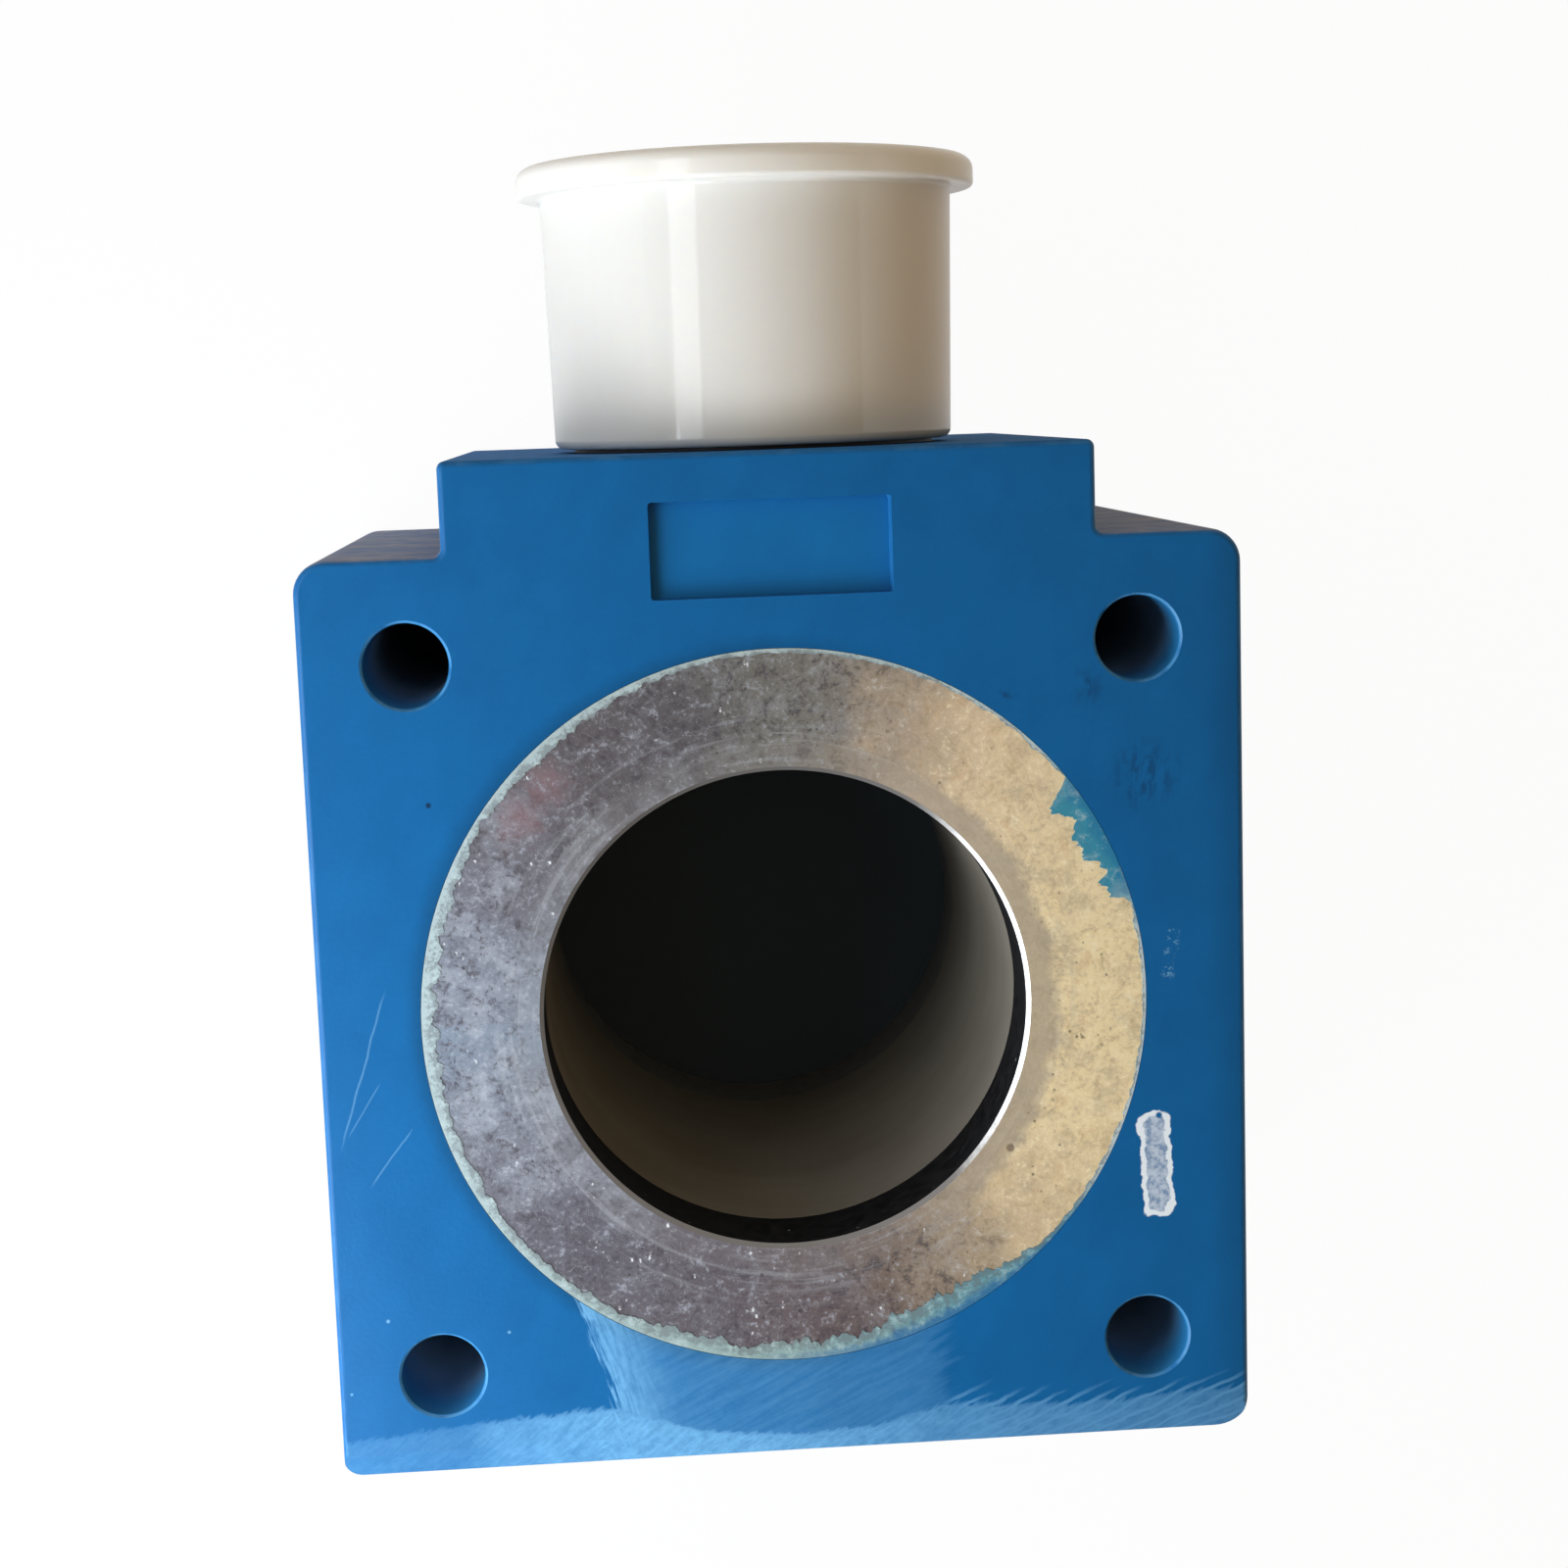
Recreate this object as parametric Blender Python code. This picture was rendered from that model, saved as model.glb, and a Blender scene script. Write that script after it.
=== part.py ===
"""Encapsulated solenoid coil for a hydraulic valve, lying on its rear face.

The bore runs along +Z, with the mating face up at Z = BODY_LENGTH. The connector boss points to +Y, and its
white dust cap pulls off that way. The origin is under the middle of the bounding box, on the surface that the
rear face rests on. Sizes are in millimetres here and in metres in the scene.
"""

import math

import bmesh
import bpy

MM = 0.001

# Mating face and block
SCREW_PITCH = 55.0
SCREW_EDGE = 8.0
SCREW_HOLE = 6.4
BODY_LENGTH = 50.0
BODY_CORNER = 2.5
EDGE_ROUND = 0.5

# Connector boss and the bare recess in its front
BOSS_WIDTH = 49.0
BOSS_RISE = 7.0
BOSS_CORNER = 0.6
RECESS_WIDTH = 18.5
RECESS_HEIGHT = 7.4
RECESS_DEPTH = 1.0
RECESS_BELOW_TOP = 3.5

# Magnetic circuit and winding, from the bore outwards
BORE = 37.0
BORE_CHAMFER = 0.5
BOBBIN_WALL = 1.3
BOBBIN_FLANGE = 1.6
WINDING_DEPTH = 3.3
WRAP_WALL = 0.4
FLANGE_LIP = 0.35
YOKE_WALL = 3.0
RING_FLANGE = 3.7
RING_SPIGOT = 3.0

# Lead window in the yoke, the leads that pass it and the room they bend in under the boss
WINDOW_WIDTH = 14.0
WINDOW_LENGTH = 8.0
LEAD = 1.2
LEAD_PITCH = 8.0
SLEEVE_WALL = 0.5
FERRULE_WALL = 0.4
LEAD_ROOM = 7.25

# Terminal carrier, moulded into the boss
CARRIER = 29.4
CARRIER_FRONT_WALL = 3.8
CARRIER_WALL = 2.3
CARRIER_ROOF = 5.85
SPIGOT_STEP = 0.3
SPIGOT_RISE = 3.5

# Flat terminals, earth link and screw bush
BLADE_WIDTH = 6.3
BLADE_THICK = 0.8
BLADE_PITCH = 18.0
BLADE_RISE = 9.0
BLADE_TIP = 1.2
BLADE_HOLE = 1.8
BLADE_TAIL = 4.0
STRAP_WIDTH = 5.0
STRAP_THICK = 0.5
STRAP_FOOT = 5.2
RIVET_SHANK = 1.8
RIVET_HEAD = 3.0
RIVET_HEAD_RISE = 1.0
INSERT = 4.6
INSERT_BORE = 2.5
INSERT_LENGTH = 6.5

# Dust cap
CAP_HEIGHT = 22.35
CAP_WALL = 1.25
CAP_FLARE = 0.4
CAP_FLANGE_RISE = 1.85
CAP_FLANGE = 2.4
CAP_END = 2.0
CAP_FOOT_ROUND = 1.0
CAP_RIM_ROUND = 1.1

# Clearance between pieces that touch, and how far a cutter runs past a face
GAP = 0.3
PAST = 2.0

# Sides of a large circle, a middle one and a small hole
ROUND_LARGE = 96
ROUND_MIDDLE = 64
ROUND_SMALL = 32
ARC_STEPS = 5

# Places that follow from the sizes above, measured from the bore axis and the rear face
BODY_HALF = SCREW_PITCH / 2 + SCREW_EDGE
BARREL_R = BORE / 2 + BOBBIN_WALL
WINDING_IN = BARREL_R + GAP
WINDING_OUT = WINDING_IN + WINDING_DEPTH
WRAP_IN = WINDING_OUT + GAP
WRAP_OUT = WRAP_IN + WRAP_WALL
BOBBIN_R = WRAP_OUT + FLANGE_LIP
YOKE_IN = BOBBIN_R + GAP
YOKE_OUT = YOKE_IN + YOKE_WALL
CAVITY_R = YOKE_OUT + GAP
BOSS_TOP = max(BODY_HALF, YOKE_OUT + LEAD_ROOM) + BOSS_RISE
RING_THICK = RING_FLANGE + RING_SPIGOT
BOBBIN_LOW = RING_THICK + GAP
BOBBIN_HIGH = BODY_LENGTH - BOBBIN_LOW
WINDING_LOW = BOBBIN_LOW + BOBBIN_FLANGE + GAP
WINDING_HIGH = BODY_LENGTH - WINDING_LOW
CARRIER_R = CARRIER / 2
SPIGOT_R = CARRIER_R - SPIGOT_STEP
CHAMBER_R = CARRIER_R - CARRIER_WALL
CONNECTOR_Z = BODY_LENGTH - CARRIER_R - CARRIER_FRONT_WALL
CAP_IN = SPIGOT_R + GAP
CAP_OUT = CAP_IN + CAP_WALL
CAP_TOP = BOSS_TOP + CAP_HEIGHT
BORE_Y = -(CAP_TOP - BODY_HALF) / 2
ROOF_Y = BOSS_TOP - CARRIER_ROOF
TAIL_Y = ROOF_Y - BLADE_TAIL
LEAD_BORE_R = LEAD / 2 + GAP
FERRULE_R = LEAD_BORE_R + FERRULE_WALL
FERRULE_LOW = TAIL_Y + LEAD


def clear_scene():
    for old in list(bpy.data.objects):
        bpy.data.objects.remove(old, do_unlink=True)


def material(name, colour, roughness, metallic=0.0):
    made = bpy.data.materials.new(name)
    made.use_nodes = True
    shader = made.node_tree.nodes["Principled BSDF"]
    shader.inputs["Base Color"].default_value = (*colour, 1.0)
    shader.inputs["Roughness"].default_value = roughness
    shader.inputs["Metallic"].default_value = metallic
    made.diffuse_color = (*colour, 1.0)
    return made


def axis_empty(name, place, turn=(0.0, 0.0, 0.0), parent=None):
    empty = bpy.data.objects.new(name, None)
    empty.location = [value * MM for value in place]
    empty.rotation_euler = turn
    empty.parent = parent
    bpy.context.collection.objects.link(empty)
    return empty


def add_object(name, shape, parent, finish=None):
    """Makes an object from a bmesh in millimetres. Without a finish it is a cutter."""
    bmesh.ops.recalc_face_normals(shape, faces=shape.faces)
    bmesh.ops.scale(shape, vec=(MM, MM, MM), verts=shape.verts)
    mesh = bpy.data.meshes.new(name)
    shape.to_mesh(mesh)
    shape.free()
    mesh.shade_smooth()
    mesh.set_sharp_from_angle(angle=math.radians(35))
    made = bpy.data.objects.new(name, mesh)
    made.parent = parent
    bpy.context.collection.objects.link(made)
    if finish:
        mesh.materials.append(finish)
    else:
        made.hide_render = True
        made.display_type = "WIRE"
    return made


def arc(centre, radius, start, end, steps=ARC_STEPS):
    """Points of an arc, from start to end degrees."""
    turns = [math.radians(start + (end - start) * step / steps) for step in range(steps + 1)]
    return [(centre[0] + radius * math.cos(a), centre[1] + radius * math.sin(a)) for a in turns]


def prism(outline, low, high, place=(0.0, 0.0)):
    """A flat outline in X and Y, drawn up from low to high."""
    shape = bmesh.new()
    corners = [shape.verts.new((x + place[0], y + place[1], low)) for x, y in outline]
    base = shape.faces.new(corners)
    top = bmesh.ops.extrude_face_region(shape, geom=[base])
    moved = [item for item in top["geom"] if isinstance(item, bmesh.types.BMVert)]
    bmesh.ops.translate(shape, vec=(0.0, 0.0, high - low), verts=moved)
    return shape


def disc(radius, low, high, sides, place=(0.0, 0.0)):
    return prism(arc((0.0, 0.0), radius, 0.0, 360.0 * (sides - 1) / sides, sides - 1), low, high, place)


def slab(width, depth, low, high, place=(0.0, 0.0)):
    x = width / 2
    y = depth / 2
    return prism([(-x, -y), (x, -y), (x, y), (-x, y)], low, high, place)


def turned(profile, sides):
    """A closed profile of radius and height, spun a full turn about Z."""
    shape = bmesh.new()
    points = [shape.verts.new((radius, 0.0, height)) for radius, height in profile]
    edges = [shape.edges.new((a, b)) for a, b in zip(points, points[1:])]
    if profile[0][0] > 0.0:
        edges.append(shape.edges.new((points[-1], points[0])))
    bmesh.ops.spin(
        shape,
        geom=points + edges,
        axis=(0.0, 0.0, 1.0),
        cent=(0.0, 0.0, 0.0),
        angle=math.tau,
        steps=sides,
        use_merge=True,
    )
    bmesh.ops.remove_doubles(shape, verts=shape.verts, dist=1e-5)
    return shape


def tube_profile(inner, outer, low, high):
    return [(inner, low), (outer, low), (outer, high), (inner, high)]


def cut(target, *cutters):
    for cutter in cutters:
        boolean = target.modifiers.new(cutter.name, "BOOLEAN")
        boolean.operation = "DIFFERENCE"
        boolean.solver = "EXACT"
        boolean.object = cutter


def block_outline():
    """The moulded block with its boss: rounded outer corners, and a fillet at each foot of the boss."""
    half = BODY_HALF
    low = BODY_CORNER - half
    high = half - BODY_CORNER
    boss = BOSS_WIDTH / 2
    tip = boss - BOSS_CORNER
    foot = boss + BOSS_CORNER
    crown = BOSS_TOP - BOSS_CORNER
    root = half + BOSS_CORNER
    right = arc((high, low), BODY_CORNER, -90, 0)
    right += arc((high, high), BODY_CORNER, 0, 90)
    right += arc((foot, root), BOSS_CORNER, 270, 180)
    right += arc((tip, crown), BOSS_CORNER, 0, 90)
    return right + [(-x, y) for x, y in reversed(right)]


def build_encapsulation(bore_axis, connector_axis, finish):
    body = add_object("encapsulation", prism(block_outline(), 0.0, BODY_LENGTH), bore_axis, finish)
    bevel = body.modifiers.new("edges", "BEVEL")
    bevel.width = EDGE_ROUND * MM
    bevel.segments = 2
    bevel.limit_method = "ANGLE"
    bevel.angle_limit = math.radians(60)
    past = BODY_LENGTH + PAST
    cut(body, add_object("cavity", disc(CAVITY_R, -PAST, past, ROUND_LARGE), bore_axis))
    for index in range(4):
        corner = (SCREW_PITCH / 2 * (-1) ** index, SCREW_PITCH / 2 * (-1) ** (index // 2))
        hole = disc(SCREW_HOLE / 2, -PAST, past, ROUND_SMALL, corner)
        cut(body, add_object(f"screw_hole_{index}", hole, bore_axis))
    recess_y = BOSS_TOP - RECESS_BELOW_TOP - RECESS_HEIGHT / 2
    recess = slab(RECESS_WIDTH, RECESS_HEIGHT, BODY_LENGTH - RECESS_DEPTH, past, (0.0, recess_y))
    cut(body, add_object("recess", recess, bore_axis))
    pocket = disc(CARRIER_R + GAP, -BOSS_TOP, PAST, ROUND_MIDDLE)
    cut(body, add_object("carrier_pocket", pocket, connector_axis))


def pole_ring_profile():
    """A washer with a shoulder for the yoke tube and a chamfered bore, its outer face at height 0."""
    bore = BORE / 2
    spigot = YOKE_IN - GAP
    return [
        (bore + BORE_CHAMFER, 0.0),
        (bore, -BORE_CHAMFER),
        (bore, -RING_THICK),
        (spigot, -RING_THICK),
        (spigot, -RING_FLANGE),
        (YOKE_OUT, -RING_FLANGE),
        (YOKE_OUT, 0.0),
    ]


def build_pole_rings(bore_axis, finish):
    front = add_object("front_pole_ring", turned(pole_ring_profile(), ROUND_LARGE), bore_axis, finish)
    front.location.z = BODY_LENGTH * MM
    rear = add_object("rear_pole_ring", turned(pole_ring_profile(), ROUND_LARGE), bore_axis, finish)
    rear.rotation_euler = (0.0, math.pi, 0.0)


def rivet_place():
    """Where the earth rivet stands at the strap's toe, along the connector's own depth axis."""
    toe = BLADE_PITCH / 2 + BLADE_THICK / 2 + GAP + STRAP_THICK - STRAP_FOOT
    return toe + GAP + RIVET_HEAD / 2


def build_yoke(bore_axis, connector_axis, finish):
    low = RING_FLANGE + GAP
    tube = turned(tube_profile(YOKE_IN, YOKE_OUT, low, BODY_LENGTH - low), ROUND_LARGE)
    yoke = add_object("yoke_tube", tube, bore_axis, finish)
    window = slab(WINDOW_WIDTH, WINDOW_LENGTH, -BOSS_TOP, 0.0)
    cut(yoke, add_object("lead_window", window, connector_axis))
    hole = disc(RIVET_SHANK / 2 + GAP, -BOSS_TOP, 0.0, ROUND_SMALL, (0.0, rivet_place()))
    cut(yoke, add_object("rivet_hole", hole, connector_axis))


def build_bobbin(bore_axis, finish):
    bore = BORE / 2
    low_in = BOBBIN_LOW + BOBBIN_FLANGE
    high_in = BOBBIN_HIGH - BOBBIN_FLANGE
    profile = [
        (bore, BOBBIN_LOW),
        (BOBBIN_R, BOBBIN_LOW),
        (BOBBIN_R, low_in),
        (BARREL_R, low_in),
        (BARREL_R, high_in),
        (BOBBIN_R, high_in),
        (BOBBIN_R, BOBBIN_HIGH),
        (bore, BOBBIN_HIGH),
    ]
    add_object("bobbin", turned(profile, ROUND_LARGE), bore_axis, finish)


def build_winding(bore_axis, connector_axis, copper, tape):
    turns = turned(tube_profile(WINDING_IN, WINDING_OUT, WINDING_LOW, WINDING_HIGH), ROUND_LARGE)
    add_object("winding", turns, bore_axis, copper)
    shell = turned(tube_profile(WRAP_IN, WRAP_OUT, WINDING_LOW, WINDING_HIGH), ROUND_LARGE)
    wrap = add_object("winding_wrap", shell, bore_axis, tape)
    slit = slab(LEAD_PITCH + LEAD + 2 * GAP + PAST, LEAD + 2 * GAP, -BOSS_TOP, 0.0)
    cut(wrap, add_object("lead_slit", slit, connector_axis))


def ferrule_place():
    """How far a lead's ferrule stands out from the middle, beside its blade's tail."""
    return BLADE_PITCH / 2 - BLADE_THICK / 2 - GAP - FERRULE_R


def lead_points(side, rise_to):
    """A lead that leaves the winding square to it, then leans out to end in its ferrule."""
    near = LEAD_PITCH / 2
    far = ferrule_place()
    start = math.sqrt(WINDING_OUT**2 - (near - LEAD / 2) ** 2) + GAP
    steps = 10
    points = [(side * near, start)]
    for step in range(steps + 1):
        share = step / steps
        ease = share * share * (3 - 2 * share)
        points.append((side * (near + (far - near) * ease), rise_to + (FERRULE_LOW - rise_to) * share))
    points.append((side * far, ROOF_Y - LEAD))
    return points


def build_round_sleeve(name, outer, place, length, bore_axis, finish):
    """A tube round a lead, drawn from place towards the boss."""
    tube = turned(tube_profile(LEAD_BORE_R, outer, 0.0, length), ROUND_SMALL)
    sleeve = add_object(name, tube, bore_axis, finish)
    sleeve.location = (place[0] * MM, place[1] * MM, CONNECTOR_Z * MM)
    sleeve.rotation_euler = (-math.pi / 2, 0.0, 0.0)


def build_lead(name, side, bore_axis, copper, sleeving, tin):
    """One end of the winding, the sleeve that guards it in the steel window and the ferrule on its tip."""
    bend_from = YOKE_OUT + GAP + LEAD
    curve = bpy.data.curves.new(f"{name}_lead", "CURVE")
    curve.dimensions = "3D"
    curve.bevel_depth = LEAD / 2 * MM
    curve.bevel_resolution = 2
    curve.use_fill_caps = True
    points = lead_points(side, bend_from)
    spline = curve.splines.new("POLY")
    spline.points.add(len(points) - 1)
    for place, (x, y) in zip(spline.points, points):
        place.co = (x * MM, y * MM, CONNECTOR_Z * MM, 1.0)
    curve.materials.append(copper)
    lead = bpy.data.objects.new(f"{name}_lead", curve)
    lead.parent = bore_axis
    bpy.context.collection.objects.link(lead)
    foot = (side * LEAD_PITCH / 2, WRAP_OUT + GAP)
    guarded = bend_from - WRAP_OUT - 2 * GAP
    build_round_sleeve(f"{name}_sleeve", LEAD_BORE_R + SLEEVE_WALL, foot, guarded, bore_axis, sleeving)
    tip = (side * ferrule_place(), FERRULE_LOW)
    gripped = ROOF_Y - GAP - FERRULE_LOW
    build_round_sleeve(f"{name}_ferrule", FERRULE_R, tip, gripped, bore_axis, tin)


def build_carrier(bore_axis, connector_axis, finish):
    """The moulded insert: it saddles the yoke, holds the terminals and carries the cap's spigot."""
    profile = [
        (0.0, SPIGOT_RISE),
        (SPIGOT_R, SPIGOT_RISE),
        (SPIGOT_R, 0.0),
        (CARRIER_R, 0.0),
        (CARRIER_R, -BOSS_TOP),
        (0.0, -BOSS_TOP),
    ]
    carrier = add_object("terminal_carrier", turned(profile, ROUND_MIDDLE), connector_axis, finish)
    saddle = disc(CAVITY_R, -PAST, BODY_LENGTH + PAST, ROUND_LARGE)
    chamber = disc(CHAMBER_R, -BOSS_TOP - PAST, -CARRIER_ROOF, ROUND_MIDDLE)
    cut(
        carrier,
        add_object("saddle", saddle, bore_axis),
        add_object("lead_chamber", chamber, connector_axis),
    )
    long = BLADE_WIDTH + 2 * GAP
    short = BLADE_THICK + 2 * GAP
    for side in (-1, 1):
        slot = slab(short, long, -BOSS_TOP, SPIGOT_RISE + PAST, (side * BLADE_PITCH / 2, 0.0))
        cut(carrier, add_object(f"blade_slot_{side}", slot, connector_axis))
    slot = slab(long, short, -BOSS_TOP, SPIGOT_RISE + PAST, (0.0, BLADE_PITCH / 2))
    cut(carrier, add_object("earth_slot", slot, connector_axis))
    hole = disc(INSERT / 2 + GAP, SPIGOT_RISE - INSERT_LENGTH - GAP, SPIGOT_RISE + PAST, ROUND_SMALL)
    cut(carrier, add_object("insert_hole", hole, connector_axis))


def blade_outline():
    half = BLADE_WIDTH / 2
    top = SPIGOT_RISE + BLADE_RISE
    low = -CARRIER_ROOF - BLADE_TAIL
    right = [(half, low), (half, top - BLADE_TIP), (half - BLADE_TIP, top)]
    return right + [(-x, y) for x, y in reversed(right)]


def build_blade(name, place, turn, connector_axis, finish):
    """A flat terminal that stands up through the carrier's roof, with a detent hole near its tip."""
    plate = prism(blade_outline(), -BLADE_THICK / 2, BLADE_THICK / 2)
    blade = add_object(name, plate, connector_axis, finish)
    hole = disc(BLADE_HOLE / 2, -PAST, PAST, ROUND_SMALL, (0.0, SPIGOT_RISE + BLADE_RISE / 2))
    cutter = add_object(f"{name}_hole", hole, connector_axis)
    for item in (blade, cutter):
        item.location = (place[0] * MM, place[1] * MM, 0.0)
        item.rotation_euler = (math.pi / 2, 0.0, turn)
    cut(blade, cutter)


def build_earth_link(connector_axis, brass, steel):
    """An angle strip from the earth blade's tail to the yoke, and the rivet that holds its foot."""
    back = BLADE_PITCH / 2 + BLADE_THICK / 2 + GAP
    foot_low = YOKE_OUT + GAP - BOSS_TOP
    top = -CARRIER_ROOF - GAP
    outer = back + STRAP_THICK
    toe = outer - STRAP_FOOT
    foot_top = foot_low + STRAP_THICK
    upright = [(outer, foot_low), (outer, top), (back, top), (back, foot_top)]
    outline = upright + [(toe, foot_top), (toe, foot_low)]
    strip = prism(outline, -STRAP_WIDTH / 2, STRAP_WIDTH / 2)
    strap = add_object("earth_strap", strip, connector_axis, brass)
    strap.rotation_euler = (math.pi / 2, 0.0, math.pi / 2)
    hole = disc(RIVET_SHANK / 2 + GAP, -BOSS_TOP, top, ROUND_SMALL, (0.0, rivet_place()))
    cut(strap, add_object("strap_hole", hole, connector_axis))
    seat = foot_top + GAP
    shank_low = YOKE_IN - BOSS_TOP + GAP
    head = RIVET_HEAD / 2
    profile = [
        (0.0, seat + RIVET_HEAD_RISE),
        (head / 2, seat + RIVET_HEAD_RISE),
        (head, seat + RIVET_HEAD_RISE / 3),
        (head, seat),
        (RIVET_SHANK / 2, seat),
        (RIVET_SHANK / 2, shank_low),
        (0.0, shank_low),
    ]
    rivet = add_object("earth_rivet", turned(profile, ROUND_SMALL), connector_axis, steel)
    rivet.location.y = rivet_place() * MM


def build_insert(connector_axis, finish):
    tube = tube_profile(INSERT_BORE / 2, INSERT / 2, SPIGOT_RISE - INSERT_LENGTH, SPIGOT_RISE)
    add_object("screw_insert", turned(tube, ROUND_SMALL), connector_axis, finish)


def cap_profile():
    """A cup, mouth down over the spigot, with a rounded foot and a pull flange at its closed end."""
    under = CAP_HEIGHT - CAP_FLANGE
    flared = CAP_OUT + CAP_FLARE
    rim = flared + CAP_FLANGE_RISE
    ceiling = CAP_HEIGHT - CAP_END
    foot = arc((CAP_OUT - CAP_FOOT_ROUND, GAP + CAP_FOOT_ROUND), CAP_FOOT_ROUND, -90, 0)
    edge = arc((rim - CAP_RIM_ROUND, CAP_HEIGHT - CAP_RIM_ROUND), CAP_RIM_ROUND, 0, 90)
    profile = [(0.0, ceiling), (CAP_IN, ceiling), (CAP_IN, GAP)]
    return profile + foot + [(flared, under), (rim, under)] + edge + [(0.0, CAP_HEIGHT)]


def build_cap(connector_axis, finish):
    add_object("dust_cap", turned(cap_profile(), ROUND_MIDDLE), connector_axis, finish)


def main():
    clear_scene()
    blue = material("blue_plastic", (0.012, 0.12, 0.33), 0.45)
    zinc = material("zinc_steel", (0.42, 0.39, 0.37), 0.45, 0.8)
    bare_steel = material("bare_steel", (0.25, 0.25, 0.26), 0.5, 0.9)
    brown = material("brown_plastic", (0.13, 0.11, 0.08), 0.5)
    copper = material("copper", (0.55, 0.22, 0.1), 0.4, 0.9)
    tape = material("amber_tape", (0.45, 0.3, 0.08), 0.5)
    sleeving = material("yellow_sleeving", (0.55, 0.4, 0.12), 0.7)
    black = material("black_plastic", (0.03, 0.03, 0.032), 0.5)
    tin = material("tinned_brass", (0.62, 0.6, 0.55), 0.3, 0.9)
    brass = material("brass", (0.6, 0.42, 0.15), 0.35, 0.9)
    milk = material("milky_plastic", (0.8, 0.77, 0.7), 0.4)
    bore_axis = axis_empty("bore_axis", (0.0, BORE_Y, 0.0))
    quarter_turn = (-math.pi / 2, 0.0, 0.0)
    connector_axis = axis_empty("connector_axis", (0.0, BOSS_TOP, CONNECTOR_Z), quarter_turn, bore_axis)
    build_encapsulation(bore_axis, connector_axis, blue)
    build_pole_rings(bore_axis, zinc)
    build_yoke(bore_axis, connector_axis, bare_steel)
    build_bobbin(bore_axis, brown)
    build_winding(bore_axis, connector_axis, copper, tape)
    build_lead("start", -1, bore_axis, copper, sleeving, tin)
    build_lead("finish", 1, bore_axis, copper, sleeving, tin)
    build_carrier(bore_axis, connector_axis, black)
    build_blade("live_blade", (-BLADE_PITCH / 2, 0.0), math.pi / 2, connector_axis, tin)
    build_blade("neutral_blade", (BLADE_PITCH / 2, 0.0), math.pi / 2, connector_axis, tin)
    build_blade("earth_blade", (0.0, BLADE_PITCH / 2), 0.0, connector_axis, tin)
    build_earth_link(connector_axis, brass, bare_steel)
    build_insert(connector_axis, brass)
    build_cap(connector_axis, milk)


main()
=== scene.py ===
"""Looks of the solenoid coil: moulded blue block, yellow-chromated zinc pole ring with some painted
reflection, milky protective cap and terminals.

Shapes are drawn in millimetres from the bore axis and the rear face, and put in the CAD frame, in metres,
at the end. Patterns are in millimetres too, from the bore axis and the mating face.
"""

import math

import bmesh
import bpy
from mathutils import Matrix, Vector, noise


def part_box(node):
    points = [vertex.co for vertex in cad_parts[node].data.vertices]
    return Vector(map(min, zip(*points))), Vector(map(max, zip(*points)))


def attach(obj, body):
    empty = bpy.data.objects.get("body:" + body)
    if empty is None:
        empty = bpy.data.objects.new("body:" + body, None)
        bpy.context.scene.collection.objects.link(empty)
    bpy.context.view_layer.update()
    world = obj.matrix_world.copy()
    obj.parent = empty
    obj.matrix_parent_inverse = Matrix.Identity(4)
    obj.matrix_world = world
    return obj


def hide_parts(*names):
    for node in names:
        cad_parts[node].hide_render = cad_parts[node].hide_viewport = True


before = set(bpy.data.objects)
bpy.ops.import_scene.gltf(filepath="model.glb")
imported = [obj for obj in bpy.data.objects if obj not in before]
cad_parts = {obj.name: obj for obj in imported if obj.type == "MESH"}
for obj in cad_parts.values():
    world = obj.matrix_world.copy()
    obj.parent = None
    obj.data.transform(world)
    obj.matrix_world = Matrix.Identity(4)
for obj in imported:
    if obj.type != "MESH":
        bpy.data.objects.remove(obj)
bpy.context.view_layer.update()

MM = 0.001

# Places read from the frame, in millimetres
BLOCK_LOW, BLOCK_HIGH = (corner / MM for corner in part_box("encapsulation"))
RING_LOW, RING_HIGH = (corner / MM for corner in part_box("front_pole_ring"))
BOBBIN_LOW, BOBBIN_HIGH = (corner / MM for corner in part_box("bobbin"))
CAP_LOW, CAP_HIGH = (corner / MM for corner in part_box("dust_cap"))
BORE_Y = (RING_LOW.y + RING_HIGH.y) / 2
BODY_HALF = BLOCK_HIGH.x
BODY_LENGTH = BLOCK_HIGH.z
BOSS_TOP = BLOCK_HIGH.y - BORE_Y
RING_R = RING_HIGH.x
RING_THICK = RING_HIGH.z - RING_LOW.z
CONNECTOR_Z = (CAP_LOW.z + CAP_HIGH.z) / 2

# Block
BODY_CORNER = 2.5
WORN_CORNER = 1.4
BOSS_HALF = 24.5
BOSS_CORNER = 0.6
EDGE_ROUND = 0.5
SCREW_PLACE = 27.5
SCREW_R = 3.2
LIP = 0.22
RECESS_HALF_WIDTH = 9.25
RECESS_LOW = 31.6
RECESS_HIGH = 39.0
RECESS_DEPTH = 1.0
RECESS_DRAFT = 0.35
POCKET_R = 14.75
POCKET_DEPTH = 3.0
SHAVE_START = 2.1
SHAVE_SLOPE = 0.435

# Ring, bore and flash
BORE_R = 18.5
BORE_CHAMFER = 0.32
RING_FLANGE = 3.7
RING_SHOULDER_R = 24.45
RING_SINK = 0.06
BOBBIN_FLANGE = 1.6
BOBBIN_SEAT = 0.26
BARREL_R = 19.8
RING_GAP = 0.04
# Which of a ring's finishes its chamfer and its bore wall have
CHAMFER_FINISH = 1
BORE_FINISH = 2
FLASH_THICK = 0.05
FLASH_LEAST = 0.06
FLASH_SIDES = 1800
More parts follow.
